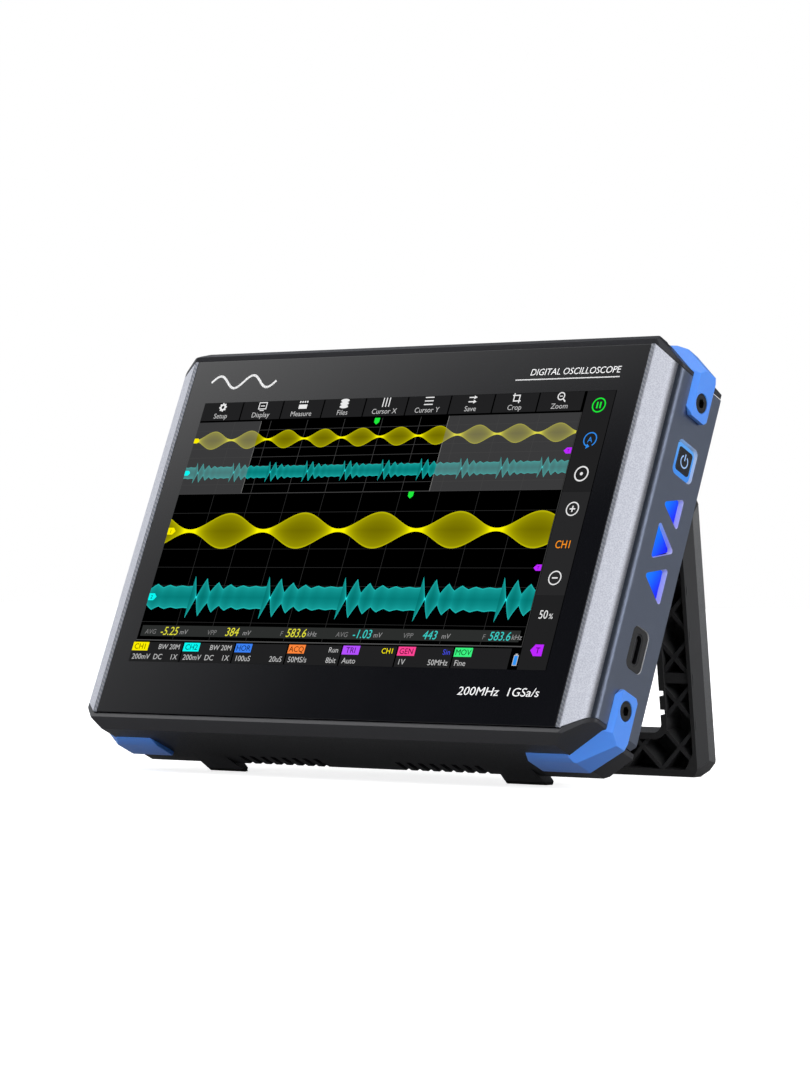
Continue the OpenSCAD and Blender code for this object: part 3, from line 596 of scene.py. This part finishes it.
def soften(obj, width):
    """Rounds a CAD node's edges with modifiers, which leave its mesh as it is."""
    mesh = obj.data
    if "custom_normal" in mesh.attributes:
        mesh.attributes.remove(mesh.attributes["custom_normal"])
    mesh.shade_smooth()
    weld = obj.modifiers.new("join_corners", "WELD")
    weld.merge_threshold = SAME_PLACE * MM
    flat = obj.modifiers.new("join_flat_faces", "DECIMATE")
    flat.decimate_type = "DISSOLVE"
    flat.angle_limit = math.radians(SAME_PLANE)
    bevel = obj.modifiers.new("round_edges", "BEVEL")
    bevel.width = width * MM
    bevel.segments = 3
    bevel.limit_method = "ANGLE"
    bevel.angle_limit = math.radians(SHARP)
    bevel.use_clamp_overlap = True
    bevel.harden_normals = False
    weighted = obj.modifiers.new("keep_faces_flat", "WEIGHTED_NORMAL")
    weighted.keep_sharp = True
    weighted.weight = 100


def finish_nodes():
    """Gives each CAD node its slot's material and its rounded edges."""
    made = {}
    for part in frame["record"]["subparts"]:
        obj = frame["nodes"][part["node"]]
        slot = part["material_slot"]
        if slot == "blue_light":
            look = window_look(part["node"])
        elif slot in made:
            look = made[slot]
        else:
            look = made[slot] = LOOKS[slot]()
        obj.data.materials.clear()
        obj.data.materials.append(look.material)
        soften(obj, EDGE.get(part["node"], SMALL_EDGE))


def opening_highlight_look():
    """Painted highlight on the walls of the openings through the rail: pale metal with a faint glow of its
    own.
    """
    look = worked_metal("rail_opening_painted_highlight", (0.82, 0.82, 0.84), 0.38, 0.2, 0.01, 0.03)
    # The faint pale glow is painted light: the walls are no lamp.
    return look.set(Metallic=0.5, Emission_Color=(0.75, 0.76, 0.8, 1), Emission_Strength=0.1)


FACET_ANGLE = 27      # degrees between the facet and the plane of the glass
RIM_DEPTH = 0.3       # the rim beside the glass lies within this depth, in millimetres
SKIN_DEPTH = 2.6      # walls of the openings lie this near the side, in millimetres


def rail_part(face, rim_back, skin):
    """Which of a rail's materials a face gets: 0 side, 1 facet (painted highlight), 2 rim, 3 opening wall
    (painted highlight).
    """
    forward = -face.normal.dot(BACK)
    sideways = abs(face.normal.dot(RIGHT))
    slope = sideways / max(forward, 0.01)
    # Faces at the facet's slope, and faces turned both forwards and sideways, get the near-white facet
    # metal: a painted highlight.
    if abs(slope - math.tan(math.radians(FACET_ANGLE))) < 0.03:
        return 1
    if forward > 0.97 and face.center.dot(BACK) < rim_back:
        return 2
    if forward > 0.6 and sideways > 0.3:
        return 1
    # Walls of the openings that face forwards or down get the pale glowing metal: a painted highlight.
    wall = sideways < 0.3 and abs(face.center.dot(RIGHT)) > skin
    if wall and (forward > 0.2 or face.normal.dot(UP) < -0.5):
        return 3
    return 0


def rail_rims_and_painted_highlights():
    """The rails' facets and the forward- and downward-facing walls of their openings get painted highlights,
    and their rims are hatched.
    """
    extra = [facet_look().material, lip_look().material, opening_highlight_look().material]
    rim_back = GLASS_FRONT + RIM_DEPTH * MM
    skin = reach("rail_right", RIGHT)[1] - SKIN_DEPTH * MM
    for node in ("rail_left", "rail_right"):
        mesh = frame["nodes"][node].data
        for material in extra:
            mesh.materials.append(material)
        for face in mesh.polygons:
            face.material_index = rail_part(face, rim_back, skin)


# ---- Screen ----

# Places are millimetres on the glass, from its lower edge and its middle line.
LIT = (-77.1, 16.55, 76.9, 102.6)     # the lit area: left, low, right, high
PLOT = (-77.1, 66.4)                  # left and right of the traces' area
MENU = (96.5, 102.5)                  # low and high of the menu row
OVERVIEW = (71.75, 95.9)              # low and high of the upper traces
DETAIL = (23.5, 71.3)                 # low and high of the lower traces
COLUMN = (66.9, 76.7)                 # left and right of the touch keys
SHOWN = (-52.3, 19.35)                # the span of the overview that the detail shows
GAP = 0.5                             # between neighbouring cells
YELLOW_ZERO = (89.7, 59.35)           # the first trace's zero, in the overview and below
TEAL_ZERO = (78.8, 37.6)              # the second trace's
TRIGGER = (83.85, 47.5)               # the trigger level in each

# How far each layer of marks stands off its face.
ON_FACE = 0.0
ON_PRINT = 0.02
ON_SHADES = 0.04
ON_CELLS = 0.05
ON_GRID = 0.065
ON_SIGNS = 0.08
ON_TRACES = 0.085
ON_READOUTS = 0.09
ON_TAGS = 0.11
ON_LETTERS = 0.14


def screen_ground(material):
    """The black ground of the whole lit area."""
    marks = Marks(ON_GLASS, ON_PRINT)
    marks.bar(*LIT, BLACK)
    marks.finish("screen_ground", "case", material)


def tick(marks, u, v, colour, size=1.0):
    """A small tag with a point to the right, which marks a trace's zero."""
    outline = [(-1.3, -1), (0.5, -1), (1.4, 0), (0.5, 1), (-1.3, 1)]
    marks.plate([(u + a * size, v + b * size) for a, b in outline], colour)


def icon_gear(marks, u, v):
    outer = []
    for i in range(32):
        radius, turn = 1.5 if i % 4 < 2 else 1.15, math.radians(i * 360 / 32)
        outer.append((u + radius * math.cos(turn), v + radius * math.sin(turn)))
    marks.loop(outer, circle(u, v, 0.55, 32), WHITE)


def icon_display(marks, u, v):
    marks.loop(moved([(-1.6, -1.1), (1.6, -1.1), (1.6, 1.3), (-1.6, 1.3)], u, v),
               moved([(-1.3, -0.8), (1.3, -0.8), (1.3, 1), (-1.3, 1)], u, v), WHITE)
    marks.bar(u - 0.8, v - 0.1, u + 0.8, v + 0.2, WHITE)
    marks.bar(u - 0.8, v - 1.6, u + 0.8, v - 1.35, WHITE)


def icon_ruler(marks, u, v):
    marks.bar(u - 1.6, v - 1.3, u + 1.6, v + 0.1, WHITE)
    for i in range(4):
        marks.bar(u - 1.6 + i * 0.9, v + 0.7, u - 1.1 + i * 0.9, v + 1.3, WHITE)


def icon_discs(marks, u, v):
    for i in range(3):
        flat = [(a, v + (b - v) * 0.36 - 1 + i) for a, b in circle(u, v, 1.6, 24)]
        marks.plate(flat, WHITE)


def icon_upright_lines(marks, u, v):
    for step in (-1.15, 0, 1.15):
        marks.bar(u + step - 0.17, v - 1.5, u + step + 0.17, v + 1.5, WHITE)


def icon_level_lines(marks, u, v):
    for step in (-1.15, 0, 1.15):
        marks.bar(u - 1.6, v + step - 0.17, u + 1.6, v + step + 0.17, WHITE)


def icon_arrows(marks, u, v):
    for y in (v - 0.7, v + 0.7):
        marks.stroke((u - 1.3, y), (u + 1.0, y), 0.35, WHITE)
        marks.plate([(u + 0.5, y - 0.6), (u + 1.6, y), (u + 0.5, y + 0.6)], WHITE)


def icon_corners(marks, u, v):
    marks.stroke((u - 1.0, v + 1.6), (u - 1.0, v - 1.0), 0.35, WHITE)
    marks.stroke((u - 1.17, v - 0.9), (u + 1.6, v - 0.9), 0.35, WHITE)
    marks.stroke((u + 1.0, v - 1.6), (u + 1.0, v + 1.0), 0.35, WHITE)
    marks.stroke((u + 1.17, v + 0.9), (u - 1.6, v + 0.9), 0.35, WHITE)


def icon_lens(marks, u, v):
    marks.loop(circle(u - 0.2, v + 0.2, 1.3), circle(u - 0.2, v + 0.2, 0.95), WHITE)
    marks.stroke((u + 0.75, v - 0.75), (u + 1.6, v - 1.6), 0.4, WHITE)
    marks.stroke((u - 0.7, v + 0.2), (u + 0.3, v + 0.2), 0.25, WHITE)


MENU_CELLS = [
    ("Setup", icon_gear), ("Display", icon_display), ("Measure", icon_ruler),
    ("Files", icon_discs), ("Cursor X", icon_upright_lines), ("Cursor Y", icon_level_lines),
    ("Save", icon_arrows), ("Crop", icon_corners), ("Zoom", icon_lens),
]


def screen_menu(material):
    """The top row of cells, each with a plain symbol over a word."""
    cells = Marks(ON_GLASS, ON_CELLS)
    signs = Marks(ON_GLASS, ON_SIGNS)
    pitch = (PLOT[1] - PLOT[0]) / len(MENU_CELLS)
    for i, (name, icon) in enumerate(MENU_CELLS):
        left = PLOT[0] + i * pitch
        cells.bar(left, MENU[0], left + pitch - GAP, MENU[1], CELL)
        middle = left + (pitch - GAP) / 2
        icon(signs, middle, MENU[0] + 4.5)
        signs.text(name, middle, MENU[0] + 0.75, 1.75, PALE, "CENTER")
    cells.finish("screen_menu_cells", "case", material)
    signs.finish("screen_menu_signs", "case", material)


def screen_shades(material):
    """Grey grounds: the overview outside the shown span, the readout bar and the lines."""
    grey, line = ink(58, 58, 59), ink(120, 120, 118)
    marks = Marks(ON_GLASS, ON_SHADES)
    marks.bar(PLOT[0], OVERVIEW[0], SHOWN[0], OVERVIEW[1], grey)
    marks.bar(SHOWN[1], OVERVIEW[0], PLOT[1], OVERVIEW[1], grey)
    marks.bar(PLOT[0] + 1, 24.8, PLOT[1] - 1.4, 28.3, ink(44, 46, 45))
    marks.bar(PLOT[0], DETAIL[0] - 0.15, PLOT[1] + 0.2, DETAIL[0] + 0.15, ink(84, 84, 84))
    marks.bar(PLOT[0], OVERVIEW[0] - 0.1, PLOT[1], OVERVIEW[0] + 0.1, ink(70, 70, 70))
    marks.bar(PLOT[1] + 0.1, DETAIL[0], PLOT[1] + 0.3, OVERVIEW[1], ink(62, 62, 62))
    for x in SHOWN:
        marks.bar(x - 0.12, OVERVIEW[0], x + 0.12, OVERVIEW[1], line)
    marks.finish("screen_shades", "case", material)


def screen_grid(material):
    """Ten by eight divisions in each of the two zones."""
    marks = Marks(ON_GLASS, ON_GRID)
    across = (PLOT[1] - PLOT[0]) / 10
    for zone, faint in ((OVERVIEW, ink(66, 66, 66)), (DETAIL, ink(46, 46, 46))):
        down = (zone[1] - zone[0]) / 8
        for i in range(1, 10):
            x = PLOT[0] + i * across
            marks.bar(x - 0.07, zone[0], x + 0.07, zone[1], faint)
        for i in range(1, 8):
            z = zone[0] + i * down
            marks.bar(PLOT[0], z - 0.06, PLOT[1], z + 0.06, faint)
    marks.finish("screen_grid", "case", material)


def pinched(x, node, pitch, half):
    """Half height of a modulated trace that pinches at node and once every pitch."""
    share = 0.5 - 0.5 * math.cos(math.tau * (x - node) / pitch)
    return half * (0.09 + 0.91 * share)


def ringing(x, first, pitch, half, spike):
    """Half height of a band with a sharp burst every pitch, which rings and dies away."""
    s = (x - first) % pitch
    beat = pitch / 5.85
    saw = abs(((s / beat) % 1) * 2 - 1) * 2 - 1
    swing = math.exp(-max(0, s - beat / 2) / (beat * 1.5))
    top = spike - half if s < beat / 2 and saw > 0 else half
    return max(0.035 * half, half + top * saw * swing)


def trace(name, material, tones, centre, half_at, peak, steps):
    """A lit band whose outline and pinches shine brighter than its inside."""
    dim, edge, hot = tones
    rows = (-1, -0.88, -0.45, 0, 0.45, 0.88, 1)            # places across the band
    shine = (0.85, 0.28, 0.1, 0.0, 0.1, 0.28, 0.85)        # the edge tone's share there
    veil, veil_share = ink(120, 120, 124), 0.34            # over the part that isn't shown
    marks = Marks(ON_GLASS, ON_TRACES)
    columns = []
    for i in range(steps + 1):
        x = PLOT[0] + (PLOT[1] - PLOT[0]) * i / steps
        half = half_at(x)
        squeeze = min(1.0, (0.14 * peak / half) ** 1.3)
        column = []
        for row, glow in zip(rows, shine):
            tone = mix(mix(dim, edge, glow), hot, squeeze)
            if centre > OVERVIEW[0] and not SHOWN[0] < x < SHOWN[1]:
                tone = mix(tone, veil, veil_share)
            column.append((centre + row * half, tone))
        columns.append((x, column))
    marks.ribbon(columns)
    marks.finish(name, "case", material)


def screen_traces(material):
    """Both traces, in the overview and, stretched, in the detail below it."""
    yellow = (ink(88, 82, 0), ink(205, 200, 10), ink(255, 248, 0))
    teal = (ink(0, 104, 100), ink(40, 200, 194), ink(40, 255, 255))
    trace("trace_1_overview", material, yellow, YELLOW_ZERO[0],
          lambda x: pinched(x, -4.65, 14.4, 3.05), 3.05, 500)
    trace("trace_2_overview", material, teal, TEAL_ZERO[0],
          lambda x: ringing(x, -1.1, 14.4, 1.9, 3.6), 1.9, 1100)
    trace("trace_1_detail", material, yellow, YELLOW_ZERO[1],
          lambda x: pinched(x, -10.55, 28.9, 5.87), 5.87, 400)
    trace("trace_2_detail", material, teal, TEAL_ZERO[1],
          lambda x: ringing(x, -3.0, 28.8, 3.6, 7.05), 3.6, 1100)


def trigger_tag(marks, u, v):
    """The purple tag of the trigger level, with its point to the left."""
    outline = [(-1.5, 0), (-0.5, -0.95), (1.2, -0.95), (1.2, 0.95), (-0.5, 0.95)]
    marks.plate(moved(outline, u, v), PURPLE)


def time_tag(marks, u, v):
    """The green tag of the trigger's time, with its point downwards."""
    outline = [(0, -1.2), (0.95, -0.4), (0.95, 1), (-0.95, 1), (-0.95, -0.4)]
    marks.plate(moved(outline, u, v), GREEN)


def screen_markers(material):
    """The tags at the edges of both zones, with their letters."""
    marks = Marks(ON_GLASS, ON_TAGS)
    for zone, size in ((0, 0.8), (1, 1.15)):
        tick(marks, PLOT[0] + 1.3 * size, YELLOW_ZERO[zone], YELLOW, size)
        tick(marks, PLOT[0] + 1.3 * size, TEAL_ZERO[zone], CYAN, size)
    time_tag(marks, -7.3, 94.9)
    time_tag(marks, 12.9, 70.6)
    for level in TRIGGER:
        trigger_tag(marks, 65.2, level)
    marks.finish("screen_markers", "case", material)
    names = Marks(ON_GLASS, ON_LETTERS)
    names.text("1", PLOT[0] + 1.2, YELLOW_ZERO[1] - 0.6, 1.2, BLACK, "CENTER")
    names.text("2", PLOT[0] + 1.2, TEAL_ZERO[1] - 0.6, 1.2, BLACK, "CENTER")
    for level in TRIGGER:
        names.text("T", 65.35, level - 0.45, 0.9, ink(60, 0, 90), "CENTER")
    names.finish("screen_marker_signs", "case", material)


def screen_readouts(material):
    """The row of measured values, three for each trace."""
    marks = Marks(ON_GLASS, ON_READOUTS)
    values = [("AVG", "-5.25", "mV"), ("VPP", "384", "mV"), ("F", "583.6", "kHz"),
              ("AVG", "-1.03", "mV"), ("VPP", "443", "mV"), ("F", "583.6", "kHz")]
    for i, (label, number, unit) in enumerate(values):
        tone = ink(225, 222, 60) if i < 3 else ink(60, 205, 198)
        left = PLOT[0] + 2.6 + i * 24.6
        label_left = left + 3.6 if label == "F" else left
        marks.text(label, label_left, 25.5, 1.6, DIM, slant=0.1)
        marks.text(number, left + 9.6, 25.2, 2.8, tone, "CENTER", 0.9, 0.15)
        marks.text(unit, left + 13.8, 25.5, 1.6, ink(150, 150, 150), slant=0.1)
    marks.finish("screen_readouts", "case", material)


STATUS_CELLS = [
    ("CH1", YELLOW, "BW 20M", PALE, "200mV  DC", "1X"),
    ("CH2", CYAN, "BW 20M", PALE, "200mV  DC", "1X"),
    ("HOR", ink(60, 130, 245), "", PALE, "100uS", "20uS"),
    ("ACQ", ink(255, 135, 60), "Run", PALE, "50MS/s", "8bit"),
    ("TRI", ink(180, 80, 255), "CH1", YELLOW, "Auto", ""),
    ("GEN", ink(255, 70, 150), "Sin", ink(70, 80, 230), "1V", "50MHz"),
    ("MOV", ink(60, 245, 130), "", PALE, "Fine", ""),
]


def battery_sign(marks, u, v):
    """A small upright battery sign."""
    body = moved([(-0.6, -1.6), (0.6, -1.6), (0.6, 1.2), (-0.6, 1.2)], u, v)
    marks.plate(body, ink(50, 150, 245))
    rim = moved([(-0.8, -1.8), (0.8, -1.8), (0.8, 1.4), (-0.8, 1.4)], u, v)
    marks.loop(rim, body, PALE)
    marks.bar(u - 0.4, v + 1.45, u + 0.4, v + 1.8, PALE)


def screen_status(material):
    """The lower row of cells, each with a coloured tag and its settings."""
    cells = Marks(ON_GLASS, ON_CELLS)
    tags = Marks(ON_GLASS, ON_SIGNS)
    words = Marks(ON_GLASS, ON_TAGS)
    pitch = 20.25
    for i, (tag, colour, note, note_colour, first, second) in enumerate(STATUS_CELLS):
        left = PLOT[0] - 0.7 + i * pitch
        right = left + pitch - GAP
        cells.bar(left, LIT[1], right, 22.85, CELL)
        tags.bar(left + 0.1, 20.05, left + 6.3, 22.8, colour)
        words.text(tag, left + 3.2, 20.55, 1.85, mix(colour, BLACK, 0.93), "CENTER")
        words.text(note, right - 0.8, 20.6, 1.7, note_colour, "RIGHT")
        words.text(first, left + 0.9, 17.3, 1.8, PALE)
        words.text(second, right - 0.8, 17.3, 1.8, PALE, "RIGHT")
    battery_sign(tags, 65.6, 19.5)
    cells.finish("screen_status_cells", "case", material)
    tags.finish("screen_status_tags", "case", material)
    words.finish("screen_status_words", "case", material)


def disc(marks, u, v, radius, width, colour):
    """A ring of that width."""
    marks.loop(circle(u, v, radius), circle(u, v, radius - width), colour)


def key_run(marks, u, v):
    """Two bars in a ring."""
    disc(marks, u, v, 2.35, 0.4, GREEN)
    for side in (-0.55, 0.55):
        marks.bar(u + side - 0.25, v - 1, u + side + 0.25, v + 1, GREEN)


def key_auto(marks, u, v):
    """A letter in an open ring that ends in an arrow."""
    blue = ink(50, 140, 235)
    marks.plate(circle(u, v, 2.3, 40, -60, 260) + circle(u, v, 1.95, 40, 260, -60), blue)
    marks.plate(moved([(-0.9, -2.9), (0.3, -2.2), (-0.7, -1.3)], u, v), blue)
    marks.text("A", u, v - 0.9, 1.8, blue, "CENTER")


def key_single(marks, u, v):
    """A dot in a ring."""
    disc(marks, u, v, 2.4, 0.42, WHITE)
    marks.plate(circle(u, v, 0.5, 20), WHITE)


def key_less(marks, u, v):
    """A level bar in a ring."""
    disc(marks, u, v, 2.2, 0.36, WHITE)
    marks.bar(u - 0.95, v - 0.2, u + 0.95, v + 0.2, WHITE)


def key_more(marks, u, v):
    """A cross in a ring."""
    key_less(marks, u, v)
    marks.bar(u - 0.2, v - 0.95, u + 0.2, v - 0.22, WHITE)
    marks.bar(u - 0.2, v + 0.22, u + 0.2, v + 0.95, WHITE)


def screen_keys(material):
    """The column of touch keys down the right side of the screen."""
    ground = Marks(ON_GLASS, ON_CELLS)
    ground.bar(COLUMN[0], LIT[1], COLUMN[1], 39.0, CELL)
    ground.bar(COLUMN[0], 39.05, COLUMN[1], 70.9, ink(40, 40, 41))
    ground.bar(COLUMN[0], 70.95, COLUMN[1], LIT[3] - 0.1, CELL)
    ground.finish("screen_key_grounds", "case", material)
    signs = Marks(ON_GLASS, ON_SIGNS)
    u = sum(COLUMN) / 2 + 0.15
    key_run(signs, u, 98)
    key_auto(signs, u, 87.2)
    key_single(signs, u, 76.5)
    key_more(signs, u, 65.6)
    signs.text("CH1", u, 53.5, 2.5, ink(255, 150, 30), "CENTER", 0.85)
    key_less(signs, u, 44.4)
    signs.text("50", u - 0.7, 32.0, 2.7, WHITE, "CENTER", 0.85)
    signs.text("%", u + 2, 32.0, 1.6, WHITE, "CENTER")
    tag = [(-2.1, 0), (-0.7, -1.75), (2.15, -1.75), (2.15, 1.75), (-0.7, 1.75)]
    signs.plate(moved(tag, u, 22.45), PURPLE)
    signs.finish("screen_key_signs", "case", material)
    letter = Marks(ON_GLASS, ON_TAGS)
    letter.text("T", u + 0.5, 21.5, 1.9, ink(50, 0, 80), "CENTER")
    letter.finish("screen_key_letter", "case", material)


def front_print(material):
    """Plain words, a line and a wave printed round the screen."""
    marks = Marks(ON_GLASS, ON_PRINT)
    white, grey = ink(225, 225, 225), ink(200, 200, 200)
    marks.text("DIGITAL OSCILLOSCOPE", 76.4, 108.2, 2.2, white, "RIGHT", 0.95, 0.12)
    marks.bar(40, 106.7, 76.6, 107.05, grey)
    marks.text("200MHz  1GSa/s", 76.6, 8.6, 2.65, white, "RIGHT", 1.15, 0.12)
    step, period, height, width = 0.5, 13, 2.1, 0.75
    wave = [(-77 + step * i, 109.6 + height * math.sin(step * i * math.tau / period))
            for i in range(53)]
    for a, b in zip(wave, wave[1:]):
        marks.stroke(a, b, width, white)
    for u, v in wave[1:-1]:
        marks.plate(circle(u, v, width / 2, 12), white)
    marks.finish("front_print", "case", material)


def power_sign(material):
    """The standard on/off sign on the key's face."""
    face = reach("power_key", RIGHT)[1]
    centre = RIGHT * face
    for axis in (BACK, UP):
        centre = centre + axis * (sum(reach("power_key", axis)) / 2)
    marks = Marks(place_on(BACK, UP, RIGHT, centre), ON_FACE)
    tone = ink(170, 205, 255)
    start, end = 120, 420      # the ring is open at the top
    outer, inner = circle(0, -0.1, 1.95, 40, start, end), circle(0, -0.1, 1.55, 40, end, start)
    marks.plate(outer + inner, tone)
    marks.bar(-0.21, 0.2, 0.21, 2.2, tone)
    marks.finish("power_key_sign", "power_key", material)


def build_screen():
    """All the marks: the lit ones on the display, the printed ones and the key's sign."""
    material = lit_look().material
    for part in (screen_ground, screen_menu, screen_shades, screen_grid, screen_traces,
                 screen_markers, screen_readouts, screen_status, screen_keys):
        part(material)
    front_print(print_look().material)
    power_sign(lit_look("key_ink", 0.9).material)


# ---- Studio ----

LAMP_AIM = Vector((0, 0, 0.065))
CAMERA_FROM_CASE = Vector((0.6910, -0.8508, 0.0468))
CAMERA_WAY = Vector((-0.612, 0.791, 0.0042))
FLOOR_HALF = 3.0


def world_glow(tree, direction, inner, outer, strength, colour=(1, 1, 1)):
    """A soft round light in the surroundings, full within inner degrees and gone at outer."""
    nodes, links = tree.nodes, tree.links
    spot = nodes.new("ShaderNodeTexCoord")
    dot = nodes.new("ShaderNodeVectorMath")
    dot.operation = "DOT_PRODUCT"
    dot.inputs[1].default_value = Vector(direction).normalized()
    links.new(spot.outputs["Generated"], dot.inputs[0])
    fade = nodes.new("ShaderNodeMapRange")
    fade.interpolation_type = "SMOOTHSTEP"
    fade.inputs["From Min"].default_value = math.cos(math.radians(outer))
    fade.inputs["From Max"].default_value = math.cos(math.radians(inner))
    links.new(dot.outputs["Value"], fade.inputs["Value"])
    scale = nodes.new("ShaderNodeVectorMath")
    scale.operation = "SCALE"
    scale.inputs[0].default_value = Vector(colour) * strength
    links.new(fade.outputs["Result"], scale.inputs["Scale"])
    return scale.outputs["Vector"]


def build_world():
    """A white studio: soft boxes show in reflections, and the background is plain white."""
    world = bpy.data.worlds.new("studio")
    bpy.context.scene.world = world
    world.use_nodes = True
    tree = world.node_tree
    nodes, links = tree.nodes, tree.links
    nodes.clear()
    base = nodes.new("ShaderNodeRGB")
    base.outputs[0].default_value = (0.02, 0.023, 0.03, 1)
    total = base.outputs[0]
    # Each soft box: direction, full within and gone at (degrees), strength and colour.
    glows = [
        ((0.42, -0.66, 0.62), 15, 27, 1.0, (0.93, 0.95, 1)),
        ((0.724, -0.432, 0.543), 3, 10, 0.6, (1, 1, 1)),
        ((0.824, 0.559, 0.106), 4, 10, 3.6, (0.93, 0.95, 1)),
        ((0.60, 0.79, 0.0), 6, 30, 0.2, (0.85, 0.9, 1)),
        ((0.1, 0.98, -0.1), 5, 18, 2.5, (0.95, 0.97, 1)),
        ((-0.62, -0.2, 0.76), 14, 22, 1.1, (1, 1, 1)),
        ((-0.9, -0.2, 0.5), 10, 26, 1.2, (1, 1, 1)),
        ((-0.85, 0.5, 0.1), 12, 30, 0.7, (0.9, 0.93, 1)),
        ((0.0, 0.2, 1.0), 20, 50, 0.8, (1, 1, 1)),
    ]
    for glow in glows:
        add = nodes.new("ShaderNodeVectorMath")
        add.operation = "ADD"
        links.new(total, add.inputs[0])
        links.new(world_glow(tree, *glow), add.inputs[1])
        total = add.outputs["Vector"]
    lit = nodes.new("ShaderNodeBackground")
    links.new(total, lit.inputs["Color"])
    plain = nodes.new("ShaderNodeBackground")
    plain.inputs["Color"].default_value = (1, 1, 1, 1)
    choice = nodes.new("ShaderNodeMixShader")
    links.new(nodes.new("ShaderNodeLightPath").outputs["Is Camera Ray"], choice.inputs[0])
    links.new(lit.outputs[0], choice.inputs[1])
    links.new(plain.outputs[0], choice.inputs[2])
    links.new(choice.outputs[0], nodes.new("ShaderNodeOutputWorld").inputs["Surface"])


def softbox(name, direction, distance, size, power):
    """A square area light that faces the object and doesn't show in its gloss."""
    light = bpy.data.lights.new(name, "AREA")
    light.size = size
    light.energy = power
    lamp = bpy.data.objects.new(name, light)
    bpy.context.scene.collection.objects.link(lamp)
    way = Vector(direction).normalized()
    lamp.location = LAMP_AIM + way * distance
    lamp.rotation_mode = "QUATERNION"
    lamp.rotation_quaternion = way.to_track_quat("Z", "Y")
    lamp.visible_glossy = False


def floor_look():
    """White paper, which throws less light up at the object than the camera sees."""
    look = Look("studio_paper", (0.3, 0.3, 0.3), 0.9)
    seen = look.node("ShaderNodeLightPath").outputs["Is Camera Ray"]
    look.blend(seen, (0.3, 0.3, 0.3), (0.95, 0.95, 0.95))
    look.blend(seen, (0, 0, 0), (1, 1, 1), "Emission Color")
    return look.set(Emission_Strength=0.75, Specular_IOR_Level=0.0)


def build_floor():
    """A wide sheet of paper under the stand and the feet."""
    mesh = bpy.data.meshes.new("studio_floor")
    turns = ((-1, -1), (1, -1), (1, 1), (-1, 1))
    corners = [(x * FLOOR_HALF, y * FLOOR_HALF, 0) for x, y in turns]
    mesh.from_pydata(corners, [], [(0, 1, 2, 3)])
    floor = bpy.data.objects.new("studio_floor", mesh)
    bpy.context.scene.collection.objects.link(floor)
    mesh.materials.append(floor_look().material)


def build_camera():
    """The photo's camera, solved from the corners of the glass and of the lit area."""
    data = bpy.data.cameras.new("camera")
    data.lens = 126.97
    data.sensor_width = 36
    data.clip_start = 0.05
    data.clip_end = 20
    camera = bpy.data.objects.new("camera", data)
    bpy.context.scene.collection.objects.link(camera)
    camera.location = CASE_ORIGIN + CAMERA_FROM_CASE
    camera.rotation_mode = "QUATERNION"
    camera.rotation_quaternion = CAMERA_WAY.to_track_quat("-Z", "Y")
    bpy.context.scene.camera = camera


# ---- Build ----

bpy.context.scene.view_settings.view_transform = "Standard"
build_camera()
build_world()
softbox("key_right", (0.95, -0.3, 0.35), 1.1, 0.5, 8.5)
softbox("fill_front", (-0.3, -1.0, 0.0), 1.4, 0.8, 16.0)
softbox("top_back", (0.2, 0.7, 1.0), 1.4, 0.7, 3.0)
build_floor()
finish_nodes()
rail_rims_and_painted_highlights()
build_screen()
